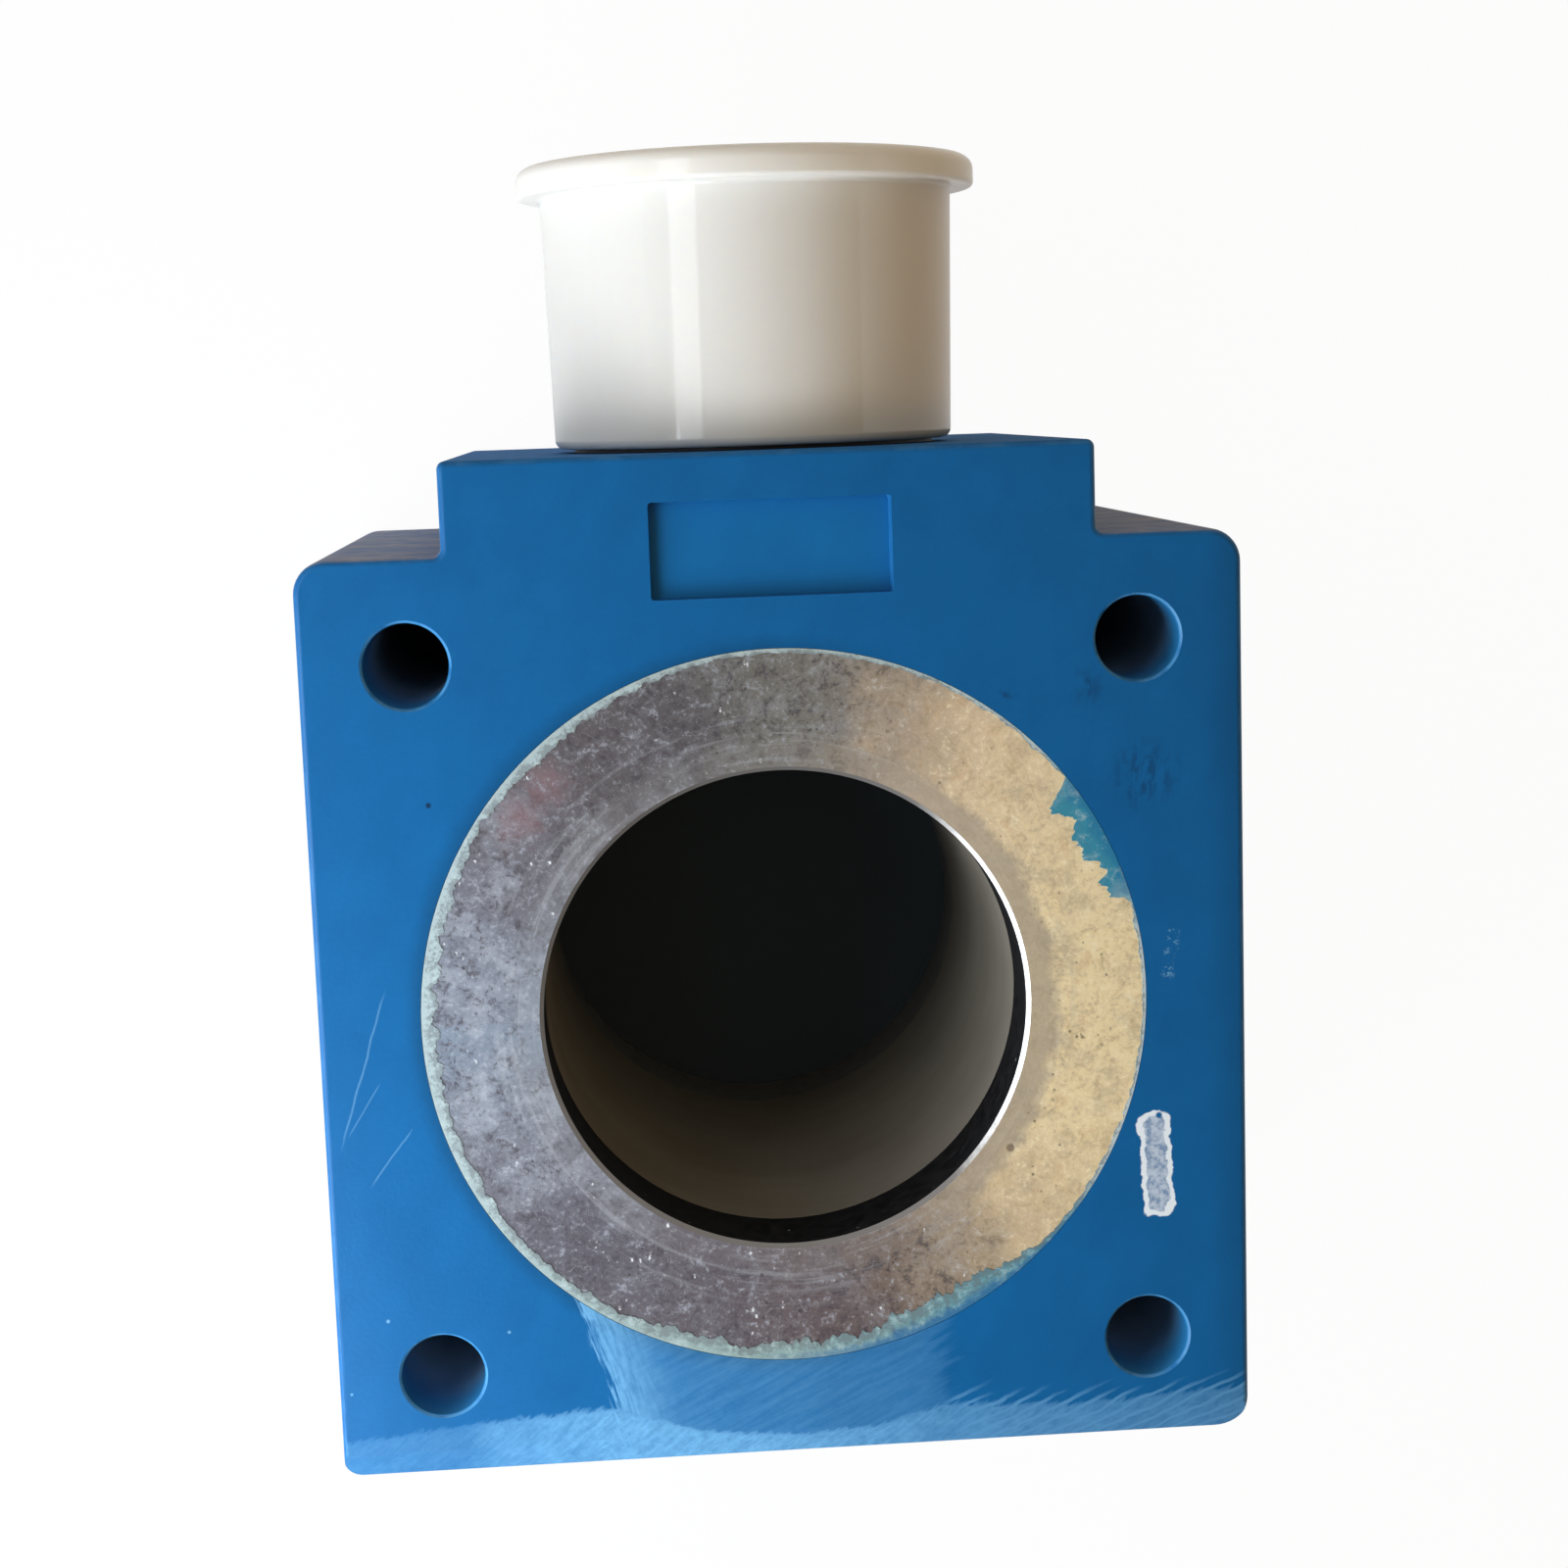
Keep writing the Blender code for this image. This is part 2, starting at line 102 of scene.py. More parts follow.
# How far the flash reaches in over the ring, in millimetres, at each turn in degrees
FLASH_REACH = (
    (-180, 1.05), (-165, 0.95), (-145, 0.8), (-130, 0.74), (-125.8, 0.9), (-118.5, 0.76),
    (-111.6, 1.22), (-105, 1.37), (-98, 0.82), (-94.4, 1.41), (-89, 1.47), (-85, 1.3), (-79, 1.42),
    (-72.8, 1.87), (-67, 2.0), (-60.6, 1.8), (-56.4, 2.0), (-52, 1.2), (-45, 0.4), (-20, 0.28),
    (10, 0.28), (14.5, 0.2), (16.2, 0.44), (17, 1.75), (19.6, 1.59), (23.8, 1.6), (25.4, 2.68),
    (27.6, 2.52), (29.6, 1.93), (32.5, 1.46), (35.6, 2.49), (38.1, 0.1), (45, 0.28), (65, 0.3),
    (90, 0.36), (105, 0.4), (122, 0.75), (134, 0.9), (146, 0.5), (160, 1.02), (176, 1.05),
    (180, 1.05),
)

# Cap
CAP_GAP = 0.3
CAP_IN = 14.7
CAP_OUT = 15.95
CAP_FLARED = 16.35
CAP_RIM = CAP_HIGH.x
CAP_FLANGE = 2.4
CAP_END = 2.0
CAP_DISH_R = 11.2
CAP_DISH_LIP = 12.0
CAP_DISH_DEPTH = 0.5
CAP_HEIGHT = CAP_HIGH.y - BLOCK_HIGH.y

# How far a cutter runs past what it cuts
PAST = 2.0

# Sides of a large round, a middle one and a small one
ROUND_LARGE = 256
ROUND_MIDDLE = 160
ROUND_SMALL = 64

# Share of the floor's tone that is plain white to the eye
FLOOR_WHITE = 0.96
# Half width of the floor, and the backdrop's place and height, in metres
FLOOR_HALF = 12.0
WALL_AWAY = 2.0
WALL_HEIGHT = 1.1
# How far inside the block's outline the floor turns dark as painted shadow, in millimetres
PATCH_INSET = 2.0

# Camera, fitted to the screw holes, ring and bore, from the bore axis
CAMERA_PLACE = (-12.26, 45.94, 247.16)
CAMERA_AIM = (0.36, 17.48, 50.0)
CAMERA_ROLL = 1.92
CAMERA_LENS = 60.75
CAMERA_SENSOR = 36.0


class Finish:
    """A node material in the making."""

    def __init__(self, name, metallic=0.0, gloss=0.5):
        self.material = bpy.data.materials.new(name)
        self.material.use_nodes = True
        self.tree = self.material.node_tree
        self.shader = self.tree.nodes["Principled BSDF"]
        self.shader.inputs["Metallic"].default_value = metallic
        self.shader.inputs["Specular IOR Level"].default_value = gloss
        mapping = self.add("ShaderNodeMapping")
        mapping.inputs["Location"].default_value = (0.0, -BORE_Y, -BODY_LENGTH)
        mapping.inputs["Scale"].default_value = (1 / MM, 1 / MM, 1 / MM)
        self.feed(mapping.inputs["Vector"], self.add("ShaderNodeTexCoord").outputs["Object"])
        self.place = mapping.outputs["Vector"]
        self.x, self.y, self.z = self.split(self.place)

    def add(self, kind, **settings):
        node = self.tree.nodes.new(kind)
        for name, value in settings.items():
            setattr(node, name, value)
        return node

    def feed(self, socket, value):
        """Links an output to a socket, or sets the socket to a plain value."""
        if isinstance(value, bpy.types.NodeSocket):
            self.tree.links.new(value, socket)
        elif isinstance(value, tuple) and len(value) == 3 and socket.type == "RGBA":
            socket.default_value = (*value, 1.0)
        else:
            socket.default_value = value

    def split(self, vector):
        """A vector's X, Y and Z."""
        node = self.add("ShaderNodeSeparateXYZ")
        self.feed(node.inputs["Vector"], vector)
        return node.outputs

    def set(self, **sockets):
        """Feeds the shader's sockets, named with underscores for spaces."""
        for name, value in sockets.items():
            self.feed(self.shader.inputs[name.replace("_", " ").title()], value)

    def maths(self, operation, *values, clamp=False):
        node = self.add("ShaderNodeMath", operation=operation, use_clamp=clamp)
        for socket, value in zip(node.inputs, values):
            self.feed(socket, value)
        return node.outputs["Value"]

    def total(self, *values):
        """The sum of values, a pair of value and share counting by its share."""
        summed = 0.0
        for value in values:
            value, share = value if isinstance(value, tuple) else (value, 1.0)
            summed = self.maths("MULTIPLY_ADD", value, share, summed)
        return summed

    def line(self, value, *points):
        """The height, at value, of a line drawn through points."""
        left, right = points[0][0], points[-1][0]
        heights = [height for _, height in points]
        low, high = min(heights), max(heights)
        share = self.maths("DIVIDE", self.maths("SUBTRACT", value, left), right - left, clamp=True)
        stops = []
        for at, height in points:
            stops.append(((at - left) / (right - left), ((height - low) / (high - low),) * 3))
        return self.maths("MULTIPLY_ADD", self.ramp(share, *stops), high - low, low)

    def both(self, *masks):
        """Where all the masks hold."""
        held = masks[0]
        for mask in masks[1:]:
            held = self.maths("MULTIPLY", held, mask)
        return held

    def either(self, *masks):
        """Where any of the masks holds."""
        held = masks[0]
        for mask in masks[1:]:
            held = self.maths("MAXIMUM", held, mask)
        return held

    def step(self, value, start, end):
        """Rises softly from 0 at start to 1 at end; start may be the larger."""
        node = self.add("ShaderNodeMapRange", interpolation_type="SMOOTHSTEP")
        for name, given in zip(("Value", "From Min", "From Max"), (value, start, end)):
            self.feed(node.inputs[name], given)
        return node.outputs["Result"]

    def turned(self, degrees, stretch, centre=(0.0, 0.0)):
        """Pattern space turned in the face's plane about centre, then stretched."""
        shift = self.add("ShaderNodeVectorMath", operation="SUBTRACT")
        self.feed(shift.inputs[0], self.place)
        self.feed(shift.inputs[1], (*centre, 0.0))
        mapping = self.add("ShaderNodeMapping", vector_type="TEXTURE")
        mapping.inputs["Rotation"].default_value = (0.0, 0.0, math.radians(degrees))
        mapping.inputs["Scale"].default_value = tuple(1 / value for value in stretch)
        self.feed(mapping.inputs["Vector"], shift.outputs["Vector"])
        return mapping.outputs["Vector"]

    def grain(self, scale, detail=3.0, rough=0.55, space=None, twist=0.0):
        """Noise of about scale lumps to the millimetre."""
        node = self.add("ShaderNodeTexNoise")
        self.feed(node.inputs["Vector"], space or self.place)
        settings = {"Scale": scale, "Detail": detail, "Roughness": rough, "Distortion": twist}
        for name, value in settings.items():
            self.feed(node.inputs[name], value)
        return node.outputs["Fac"]

    def specks(self, scale, size, space=None):
        """Small round spots, one to a cell at most, at scale cells to the millimetre."""
        cells = self.add("ShaderNodeTexVoronoi", feature="F1")
        self.feed(cells.inputs["Vector"], space or self.place)
        self.feed(cells.inputs["Scale"], scale)
        return self.step(cells.outputs["Distance"], size, size * 0.6)

    def ramp(self, value, *stops):
        node = self.add("ShaderNodeValToRGB")
        points = node.color_ramp.elements
        while len(points) < len(stops):
            points.new(1.0)
        for point, (position, colour) in zip(points, stops):
            point.position = position
            point.color = (*colour, 1.0)
        self.feed(node.inputs["Fac"], value)
        return node.outputs["Color"]

    def blend(self, share, below, above):
        node = self.add("ShaderNodeMix", data_type="RGBA")
        for index, value in zip((0, 6, 7), (share, below, above)):
            self.feed(node.inputs[index], value)
        return node.outputs[2]

    def facing(self):
        """How far the surface faces along X, Y and Z."""
        return self.split(self.add("ShaderNodeNewGeometry").outputs["Normal"])

    def length(self, across, along):
        squares = self.maths("MULTIPLY_ADD", across, across, self.maths("MULTIPLY", along, along))
        return self.maths("SQRT", squares)

    def radius(self):
        """Distance from the bore axis."""
        return self.length(self.x, self.y)

    def turn(self):
        """Share of a turn about the bore axis, from the left by the bottom, right and top."""
        radial = self.add("ShaderNodeTexGradient", gradient_type="RADIAL")
        self.feed(radial.inputs["Vector"], self.place)
        return radial.outputs["Fac"]

    def spot(self, centre, size, soft, wobble=None):
        """A round patch about centre on the face, with an edge that a wobble moves."""
        across, along = centre
        distance = self.length(self.maths("SUBTRACT", self.x, across), self.maths("SUBTRACT", self.y, along))
        if wobble is not None:
            distance = self.maths("ADD", distance, wobble)
        return self.step(distance, size + soft, size - soft)

    def streak(self, start, end, width, waver=0.0):
        """A thin straight mark on the face from start to end."""
        run = Vector(end) - Vector(start)
        space = self.turned(math.degrees(math.atan2(run.y, run.x)), (1.0, 1.0, 1.0), start)
        along, across = self.split(space)[:2]
        if waver:
            across = self.maths("ADD", across, self.centred(self.grain(0.3), waver))
        near = self.step(self.maths("ABSOLUTE", across), width, width * 0.3)
        begin = self.step(along, 0.0, run.length * 0.15)
        finish = self.step(along, run.length, run.length * 0.8)
        return self.both(near, begin, finish)

    def centred(self, value, reach):
        """A noise value moved to swing about 0 by about reach."""
        return self.maths("MULTIPLY", self.maths("SUBTRACT", value, 0.5), 2.0 * reach)

    def bump(self, height, strength, depth):
        node = self.add("ShaderNodeBump")
        node.inputs["Strength"].default_value = strength
        node.inputs["Distance"].default_value = depth * MM
        self.feed(node.inputs["Height"], height)
        self.feed(self.shader.inputs["Normal"], node.outputs["Normal"])


def blue_plastic():
    """Satin moulded plastic with flow marks, pale lips that are partly wear and partly painted highlight, a
    rubbed foot to its face, painted shade round the ring and along the right margin, painted light deep in
    the screw holes, and shoulder tops painted grey-brown, partly as settled dirt and partly as a painted
    reflection.
    """
    made = Finish("blue_plastic", gloss=0.2)
    cloud = made.grain(0.16, 4.0, 0.6)
    flow = made.grain(1.0, space=made.turned(-20.0, (0.5, 0.12, 0.3)))
    speckle = made.grain(2.4, 4.0, 0.7)
    tone = made.total((cloud, 0.55), (flow, 0.25), (speckle, 0.2))
    colour = made.ramp(tone, (0.32, (0.003, 0.106, 0.305)), (0.68, (0.004, 0.132, 0.37)))
    _, top, out = made.facing()
    face = made.step(out, 0.8, 0.9)
    in_recess = made.both(face, made.step(made.z, -0.5, -0.8), made.step(made.y, 29.0, 30.0))
    colour = made.blend(made.both(in_recess, 0.3), colour, (0.008, 0.2, 0.52))
    rubbed = made.both(rubbed_foot(made), face)
    # painted shade: the face is darkened round the ring and along its right margin
    colour = made.blend(made.both(face, painted_edge_shade(made)), colour, (0.002, 0.055, 0.14))
    colour = made.blend(rubbed, colour, (0.2, 0.52, 0.84))
    colour = made.blend(made.both(light_marks(made), face), colour, (0.2, 0.46, 0.7))
    colour = made.blend(made.both(dark_marks(made), face), colour, (0.003, 0.03, 0.09))
    from_hole = hole_distance(made)
    # paler lips: partly wear, partly painted highlight
    colour = made.blend(made.both(pale_lips(made, out, from_hole), 0.6), colour, (0.1, 0.34, 0.62))
    # painted light: the screw holes' walls are made paler the deeper they go, standing in for light reaching
    # into them
    deep = made.step(made.z, -1.5, -13.0)
    painted_hole_light = made.ramp(deep, (0.0, (0.02, 0.17, 0.38)), (1.0, (0.42, 0.56, 0.68)))
    colour = made.blend(made.step(from_hole, 0.06, 0.02), colour, painted_hole_light)
    upward = made.step(top, 0.6, 0.95)
    on_shoulder = made.step(made.y, BODY_HALF + 1.2, BODY_HALF + 0.5)
    # the upward shoulder tops are painted grey-brown: partly settled dirt, partly a painted grazing
    # reflection
    dust_and_reflection = made.both(upward, made.step(made.y, BODY_HALF - 1.5, BODY_HALF - 0.8), on_shoulder)
    dust_and_reflection = made.both(dust_and_reflection, made.line(made.grain(0.3, 6.0, 0.68), (0.32, 0.22), (0.68, 0.6)))
    colour = made.blend(dust_and_reflection, colour, (0.54, 0.46, 0.39))
    colour = paint_dab(made, colour, face)
    made.set(base_color=colour)
    made.set(roughness=made.total(0.3, (made.either(rubbed, upward), 0.45), (speckle, 0.12)))
    made.bump(made.total(speckle, (rubbed, 0.6)), 0.2, 0.08)
    return made.material


def hole_distance(made):
    """Distance out from the wall of the nearest screw hole."""
    from_x = made.maths("SUBTRACT", made.maths("ABSOLUTE", made.x), SCREW_PLACE)
    from_y = made.maths("SUBTRACT", made.maths("ABSOLUTE", made.y), SCREW_PLACE)
    return made.maths("SUBTRACT", made.length(from_x, from_y), SCREW_R)


def painted_edge_shade(made):
    """Painted shade on the face: round the left of the ring and along the right margin of the face."""
    edge_wobble = made.grain(0.7, 4.0, 0.65)
    away = made.total(made.radius(), made.centred(edge_wobble, 0.5))
    ring = made.both(made.step(away, RING_R + 1.5, RING_R - 0.1), made.step(made.x, 14.0, -4.0), 0.5)
    margin = made.both(made.step(made.x, BODY_HALF - 3.5, BODY_HALF), 0.4)
    return made.either(ring, margin)


def rubbed_foot(made):
    """How pale the foot of the face is rubbed: a band, a furry patch under the ring and slanted strokes."""
    steep = made.grain(1.0, 3.0, 0.6, made.turned(108.0, (0.4, 3.4, 1.0)))
    slant = made.grain(1.0, 4.0, 0.65, made.turned(40.0, (0.5, 2.6, 1.0)))
    low = made.grain(1.0, 3.0, 0.55, made.turned(26.0, (0.2, 2.2, 1.0)))
    fuzz = made.grain(1.3, 5.0, 0.78)
    edge = made.line(
        made.x,
        (-36.0, -32.6),
        (-24.1, -31.5),
        (-14.6, -30.9),
        (-7.5, -33.2),
        (0.2, -34.0),
        (6.3, -33.5),
        (11.0, -32.1),
        (21.9, -32.7),
        (36.0, -32.0),
    )
    above = made.maths("SUBTRACT", made.y, edge)
    ragged = made.total(above, made.centred(slant, 0.8), made.centred(fuzz, 0.5))
    worn = made.line(
        made.x,
        (-36.0, 0.2),
        (-26.0, 0.22),
        (-24.0, 0.42),
        (-16.0, 0.62),
        (-8.0, 0.72),
        (0.0, 0.66),
        (12.0, 0.4),
        (36.0, 0.3),
    )
    cloudy = made.total(0.1, (fuzz, 1.1), (made.step(slant, 0.3, 0.72), 0.4))
    band = made.both(made.step(ragged, 0.25, -0.2), worn, cloudy)
    start = made.line(
        made.y,
        (-31.5, -14.3),
        (-28.8, -14.5),
        (-27.3, -15.4),
        (-24.0, -16.2),
        (-22.0, -17.1),
    )
    along = made.total(made.x, (start, -1.0), made.centred(steep, 1.5))
    patch = made.both(made.step(along, -0.25, 0.5), made.step(made.y, -19.0, -21.0))
    end = made.total(made.x, made.centred(low, 4.0))
    patch = made.both(patch, made.step(end, 12.5, 10.0))
    worn = made.line(along, (0.0, 0.6), (2.2, 0.46), (5.0, 0.2), (12.0, 0.2), (24.0, 0.16))
    upright = made.both(made.step(steep, 0.3, 0.7), made.line(along, (2.0, 1.0), (6.0, 0.1)))
    sloped = made.both(made.step(low, 0.32, 0.7), made.line(along, (2.0, 0.1), (6.0, 1.0)))
    patch = made.both(patch, worn, made.total(0.1, (fuzz, 0.9), (upright, 0.7), (sloped, 0.55)))
    across = made.split(made.turned(26.0, (1.0, 1.0, 1.0)))["Y"]
    across = made.total((across, math.tau / 0.92), made.centred(made.grain(0.22), 4.0))
    tip = made.total((made.grain(1.0, 1.0, 0.4, made.turned(26.0, (0.01, 0.9, 1.0))), 4.4), (0.7, -1.0))
    strokes = made.both(made.step(made.maths("SINE", across), 0.25, 0.8), made.step(above, tip, 0.0))
    strokes = made.both(strokes, made.step(made.x, 10.0, 13.0), 0.4)
    return made.either(band, patch, strokes)


def light_marks(made):
    """Fine light scratches, flecks and small rubs on the face."""
    scratches = made.either(
        made.streak((-30.2, 3.4), (-34.5, -9.8), 0.11, 0.2),
        made.streak((-28.7, -7.6), (-32.4, -12.4), 0.09, 0.15),
        made.streak((-31.0, -4.0), (-33.8, -8.4), 0.07, 0.1),
    )
    rub = made.streak((30.0, 5.4), (29.4, 0.6), 0.7)
    rub = made.both(rub, made.step(made.grain(1.7, 5.0, 0.75), 0.53, 0.62))
    flecks = made.either(
        made.spot((-31.5, -22.9), 0.14, 0.07),
        made.spot((-22.3, -24.3), 0.12, 0.06),
        made.spot((-34.6, -28.6), 0.1, 0.05),
        made.both(made.specks(0.13, 0.014), made.step(made.grain(0.1), 0.52, 0.56)),
    )
    return made.either(made.both(scratches, 0.32), made.both(flecks, 0.75), made.both(rub, 0.7))


def dark_marks(made):
    """A pit on the left and greasy smudges by the upper right of the ring."""
    blotch = made.step(made.grain(1.0, 4.0, 0.7, made.turned(80.0, (0.6, 1.5, 1.0))), 0.44, 0.6)
    smudges = made.either(
        made.spot((28.0, 17.0), 2.2, 1.6),
        made.spot((23.6, 24.0), 1.1, 0.9),
        made.streak((16.6, 23.7), (18.5, 23.3), 0.3),
    )
    return made.either(made.spot((-26.35, 17.0), 0.2, 0.08), made.both(smudges, blotch, 0.5))


def pale_lips(made, out, from_hole):
    """Where the lips of the holes and of the recess, and a little of the outer edges, are paler: partly
    handling wear, partly a painted highlight on their rounding.
    """
    lip = made.both(made.step(out, 0.1, 0.3), made.step(out, 0.99, 0.93))
    by_hole = made.step(from_hole, 0.6, 0.3)
    middle = (RECESS_LOW + RECESS_HIGH) / 2
    by_recess = made.both(
        made.step(made.maths("ABSOLUTE", made.x), RECESS_HALF_WIDTH + 0.6, RECESS_HALF_WIDTH + 0.3),
        made.step(made.maths("ABSOLUTE", made.maths("SUBTRACT", made.y, middle)), 4.3, 4.0),
    )
    # where the lips are paled, partly as wear and partly as painted highlight
    rubbed = made.step(made.grain(0.6, 4.0), 0.25, 0.6)
    outer = made.both(made.step(made.grain(0.3, 4.0), 0.48, 0.7), 0.25)
    return made.both(lip, made.either(made.both(made.either(by_hole, by_recess), rubbed), outer))


def paint_dab(made, colour, face):
    """An old dab of white paint beside the ring: a thick rim round a thin, rubbed middle."""
    wavy = made.centred(made.grain(0.55, 2.0), 0.55)
    ragged = made.maths("ADD", wavy, made.centred(made.grain(1.8, 4.0), 0.25))
    along, across = made.split(made.turned(-86.0, (1.0, 1.0, 1.0), (28.4, -13.65)))[:2]
    ends = made.maths("SUBTRACT", 4.25, made.maths("ABSOLUTE", along))
    sides = made.maths("SUBTRACT", 1.25, made.maths("ABSOLUTE", across))
    inside = made.total(made.maths("SMOOTH_MIN", ends, sides, 1.2), ragged)
    notch = made.spot((28.62, -9.7), 0.24, 0.1)
    whole = made.both(made.step(inside, -0.04, 0.08), face, made.maths("SUBTRACT", 1.0, notch))
    rim = made.step(inside, 0.58, 0.38)
    thin = made.step(made.grain(1.5, 4.0, 0.65), 0.36, 0.6)
    cover = made.both(whole, made.either(rim, made.total(0.24, (thin, 0.4))))
    return made.blend(cover, colour, (0.84, 0.93, 1.0))


def zinc_ring():
    """Zinc plating, bluish and purple-grey on one side and pale gold on the other, stained and scratched;
    these colours are partly chromate and partly a painted reflection of the surroundings, the gold side
    painted bright as a warm sheen.
    """
    made = Finish("zinc_ring", 0.3)
    turn = made.total(made.turn(), made.centred(made.grain(0.12, 4.0, 0.6), 0.045))
    # colours round the ring: partly chromate, partly painted reflection; the gold is painted bright as a
    # warm sheen
    colour = made.ramp(
        turn,
        (0.0, (0.2, 0.255, 0.33)),
        (0.06, (0.165, 0.177, 0.218)),
        (0.13, (0.1, 0.096, 0.12)),
        (0.21, (0.115, 0.1, 0.116)),
        (0.27, (0.128, 0.098, 0.1)),
        (0.31, (0.19, 0.145, 0.118)),
        (0.345, (0.36, 0.29, 0.21)),
        (0.38, (0.72, 0.58, 0.37)),
        (0.44, (0.94, 0.79, 0.485)),
        (0.53, (0.95, 0.81, 0.5)),
        (0.6, (0.9, 0.75, 0.475)),
        (0.65, (0.77, 0.62, 0.42)),
        (0.685, (0.48, 0.385, 0.285)),
        (0.715, (0.235, 0.22, 0.19)),
        (0.76, (0.16, 0.158, 0.146)),
        (0.8, (0.105, 0.1, 0.11)),
        (0.86, (0.11, 0.1, 0.112)),
        (0.92, (0.14, 0.14, 0.168)),
        (0.97, (0.19, 0.22, 0.28)),
    )
    gold = made.both(made.step(turn, 0.33, 0.39), made.step(turn, 0.72, 0.66))
    grey = made.maths("SUBTRACT", 1.0, gold)
    away = made.radius()
    blotch = made.grain(0.35, 5.0, 0.65)
    mottle = made.grain(0.75, 8.0, 0.76, twist=0.6)
    fine = made.grain(2.8, 4.0, 0.7)
    sides = made.line(made.y, (-18.0, 0.2), (-6.0, 1.0), (8.0, 1.0), (18.0, 0.3))
    patchy = made.both(made.step(made.grain(0.2, 5.0, 0.68), 0.46, 0.62), grey, sides)
    colour = made.blend(made.both(patchy, 0.65), colour, (0.34, 0.38, 0.445))
    smudged = made.both(made.step(blotch, 0.56, 0.3), gold)
    colour = made.blend(made.both(smudged, 0.5), colour, (0.48, 0.4, 0.28))
    tanned = made.both(made.step(made.grain(0.55, 6.0, 0.72, twist=0.5), 0.52, 0.66), gold)
    colour = made.blend(made.both(tanned, 0.45), colour, (0.7, 0.49, 0.27))
    dark = made.step(made.total((mottle, 0.7), (fine, 0.3)), 0.5, 0.4)
    dark = made.both(dark, made.maths("MULTIPLY_ADD", gold, -0.36, 0.76))
    colour = made.blend(dark, colour, made.blend(gold, (0.058, 0.05, 0.066), (0.5, 0.385, 0.22)))
    light = made.step(made.total((mottle, 0.6), (fine, 0.4)), 0.52, 0.63)
    light = made.both(light, made.maths("MULTIPLY_ADD", gold, 0.1, 0.55))
    colour = made.blend(light, colour, made.blend(gold, (0.45, 0.49, 0.57), (1.0, 0.91, 0.66)))
    pink = made.either(
        made.spot((-19.6, 15.6), 1.4, 1.5, made.centred(mottle, 3.4)),
        made.spot((-17.6, 18.4), 1.2, 1.5, made.centred(mottle, 3.4)),
    )
    colour = made.blend(made.both(pink, 0.42), colour, (0.33, 0.2, 0.22))
    inner = made.step(made.total(away, made.centred(blotch, 1.6)), 21.6, 20.2)
    near_bore = made.ramp(
        turn,
        (0.0, (0.29, 0.325, 0.36)),
        (0.2, (0.18, 0.165, 0.175)),
        (0.35, (0.33, 0.29, 0.25)),
        (0.5, (0.4, 0.345, 0.27)),
        (0.66, (0.4, 0.35, 0.29)),
        (0.8, (0.22, 0.215, 0.205)),
        (1.0, (0.29, 0.325, 0.36)),
    )
    inner = made.both(inner, made.maths("MULTIPLY_ADD", gold, 0.4, 0.3))
    colour = made.blend(inner, colour, near_bore)
    circles = made.add("ShaderNodeCombineXYZ")
    made.feed(circles.inputs["X"], made.maths("MULTIPLY", away, 1.7))
    made.feed(circles.inputs["Y"], made.maths("MULTIPLY", turn, 14.0))
    lathe = made.grain(1.0, 4.0, 0.6, circles.outputs["Vector"])
    turned = made.both(made.step(lathe, 0.5, 0.66), made.step(away, 25.0, 21.0), 0.3)
    colour = made.blend(turned, colour, made.blend(gold, (0.42, 0.45, 0.49), (0.62, 0.55, 0.42)))
    scratched = made.blend(gold, (0.46, 0.48, 0.52), (0.4, 0.3, 0.17))
    colour = made.blend(made.both(ring_scratches(made, gold), 0.42), colour, scratched)
    stained = made.both(made.step(away, 19.5, 21.5), made.step(away, 26.5, 24.5))
    stained = made.both(stained, made.step(made.grain(0.28), 0.48, 0.6))
    specks = made.either(made.specks(1.1, 0.16), made.specks(0.6, 0.12))
    pits = made.either(made.both(specks, stained), made.spot((17.0, -11.7), 0.32, 0.12))
    pitted = made.blend(gold, (0.04, 0.035, 0.045), (0.13, 0.095, 0.06))
    colour = made.blend(made.both(pits, 0.7), colour, pitted)
    glints = made.specks(1.3, 0.24, made.turned(90.0, (0.7, 1.4, 1.0)))
    glints = made.both(glints, made.step(blotch, 0.56, 0.62), made.step(fine, 0.46, 0.56), grey)
    colour = made.blend(made.both(glints, 0.8), colour, (0.8, 0.84, 0.88))
    made.set(base_color=colour)
    made.set(roughness=made.total(0.36, (mottle, 0.3)))
    made.bump(made.total(mottle, (fine, 0.4), (pits, -0.8), (glints, 0.5)), 0.35, 0.12)
    return made.material


def ring_scratches(made, gold):
    """Short curved hairs all over the ring, and a few straight scratches across its gold side."""
    curl = made.grain(1.1, 2.0, 0.6, twist=1.2)
    hairs = made.step(made.maths("ABSOLUTE", made.maths("SUBTRACT", curl, 0.5)), 0.014, 0.004)
    hairs = made.both(hairs, made.step(made.grain(0.8, 3.0), 0.5, 0.6))
    hairs = made.both(hairs, made.maths("MULTIPLY_ADD", gold, -0.7, 1.0))
    lines = []
    for degrees in (18.0, 62.0, 107.0, 151.0):
        space = made.turned(degrees, (0.16, 3.2, 1.0), (degrees, 0.0))
        lines.append(made.step(made.grain(1.0, 1.0, 0.4, space), 0.67, 0.73))
    lines = made.both(made.either(*lines), made.step(made.grain(0.3, 3.0), 0.46, 0.58))
    return made.either(hairs, made.both(lines, made.maths("MULTIPLY_ADD", gold, 0.2, 0.2)))


def dark_bore(name, dark, light):
    """A ring's darkened bore wall, with a few bright nicks."""
    made = Finish(name, 0.3)
    mottle = made.grain(1.2, 4.0)
    colour = made.ramp(mottle, (0.35, dark), (0.7, light))
    nicks = made.both(made.specks(0.8, 0.12), made.step(made.grain(0.25), 0.55, 0.65))
    made.set(base_color=made.blend(nicks, colour, (0.4, 0.4, 0.4)))
    made.set(roughness=made.total(0.35, (mottle, 0.3)))
    made.bump(mottle, 0.3, 0.05)
    return made.material


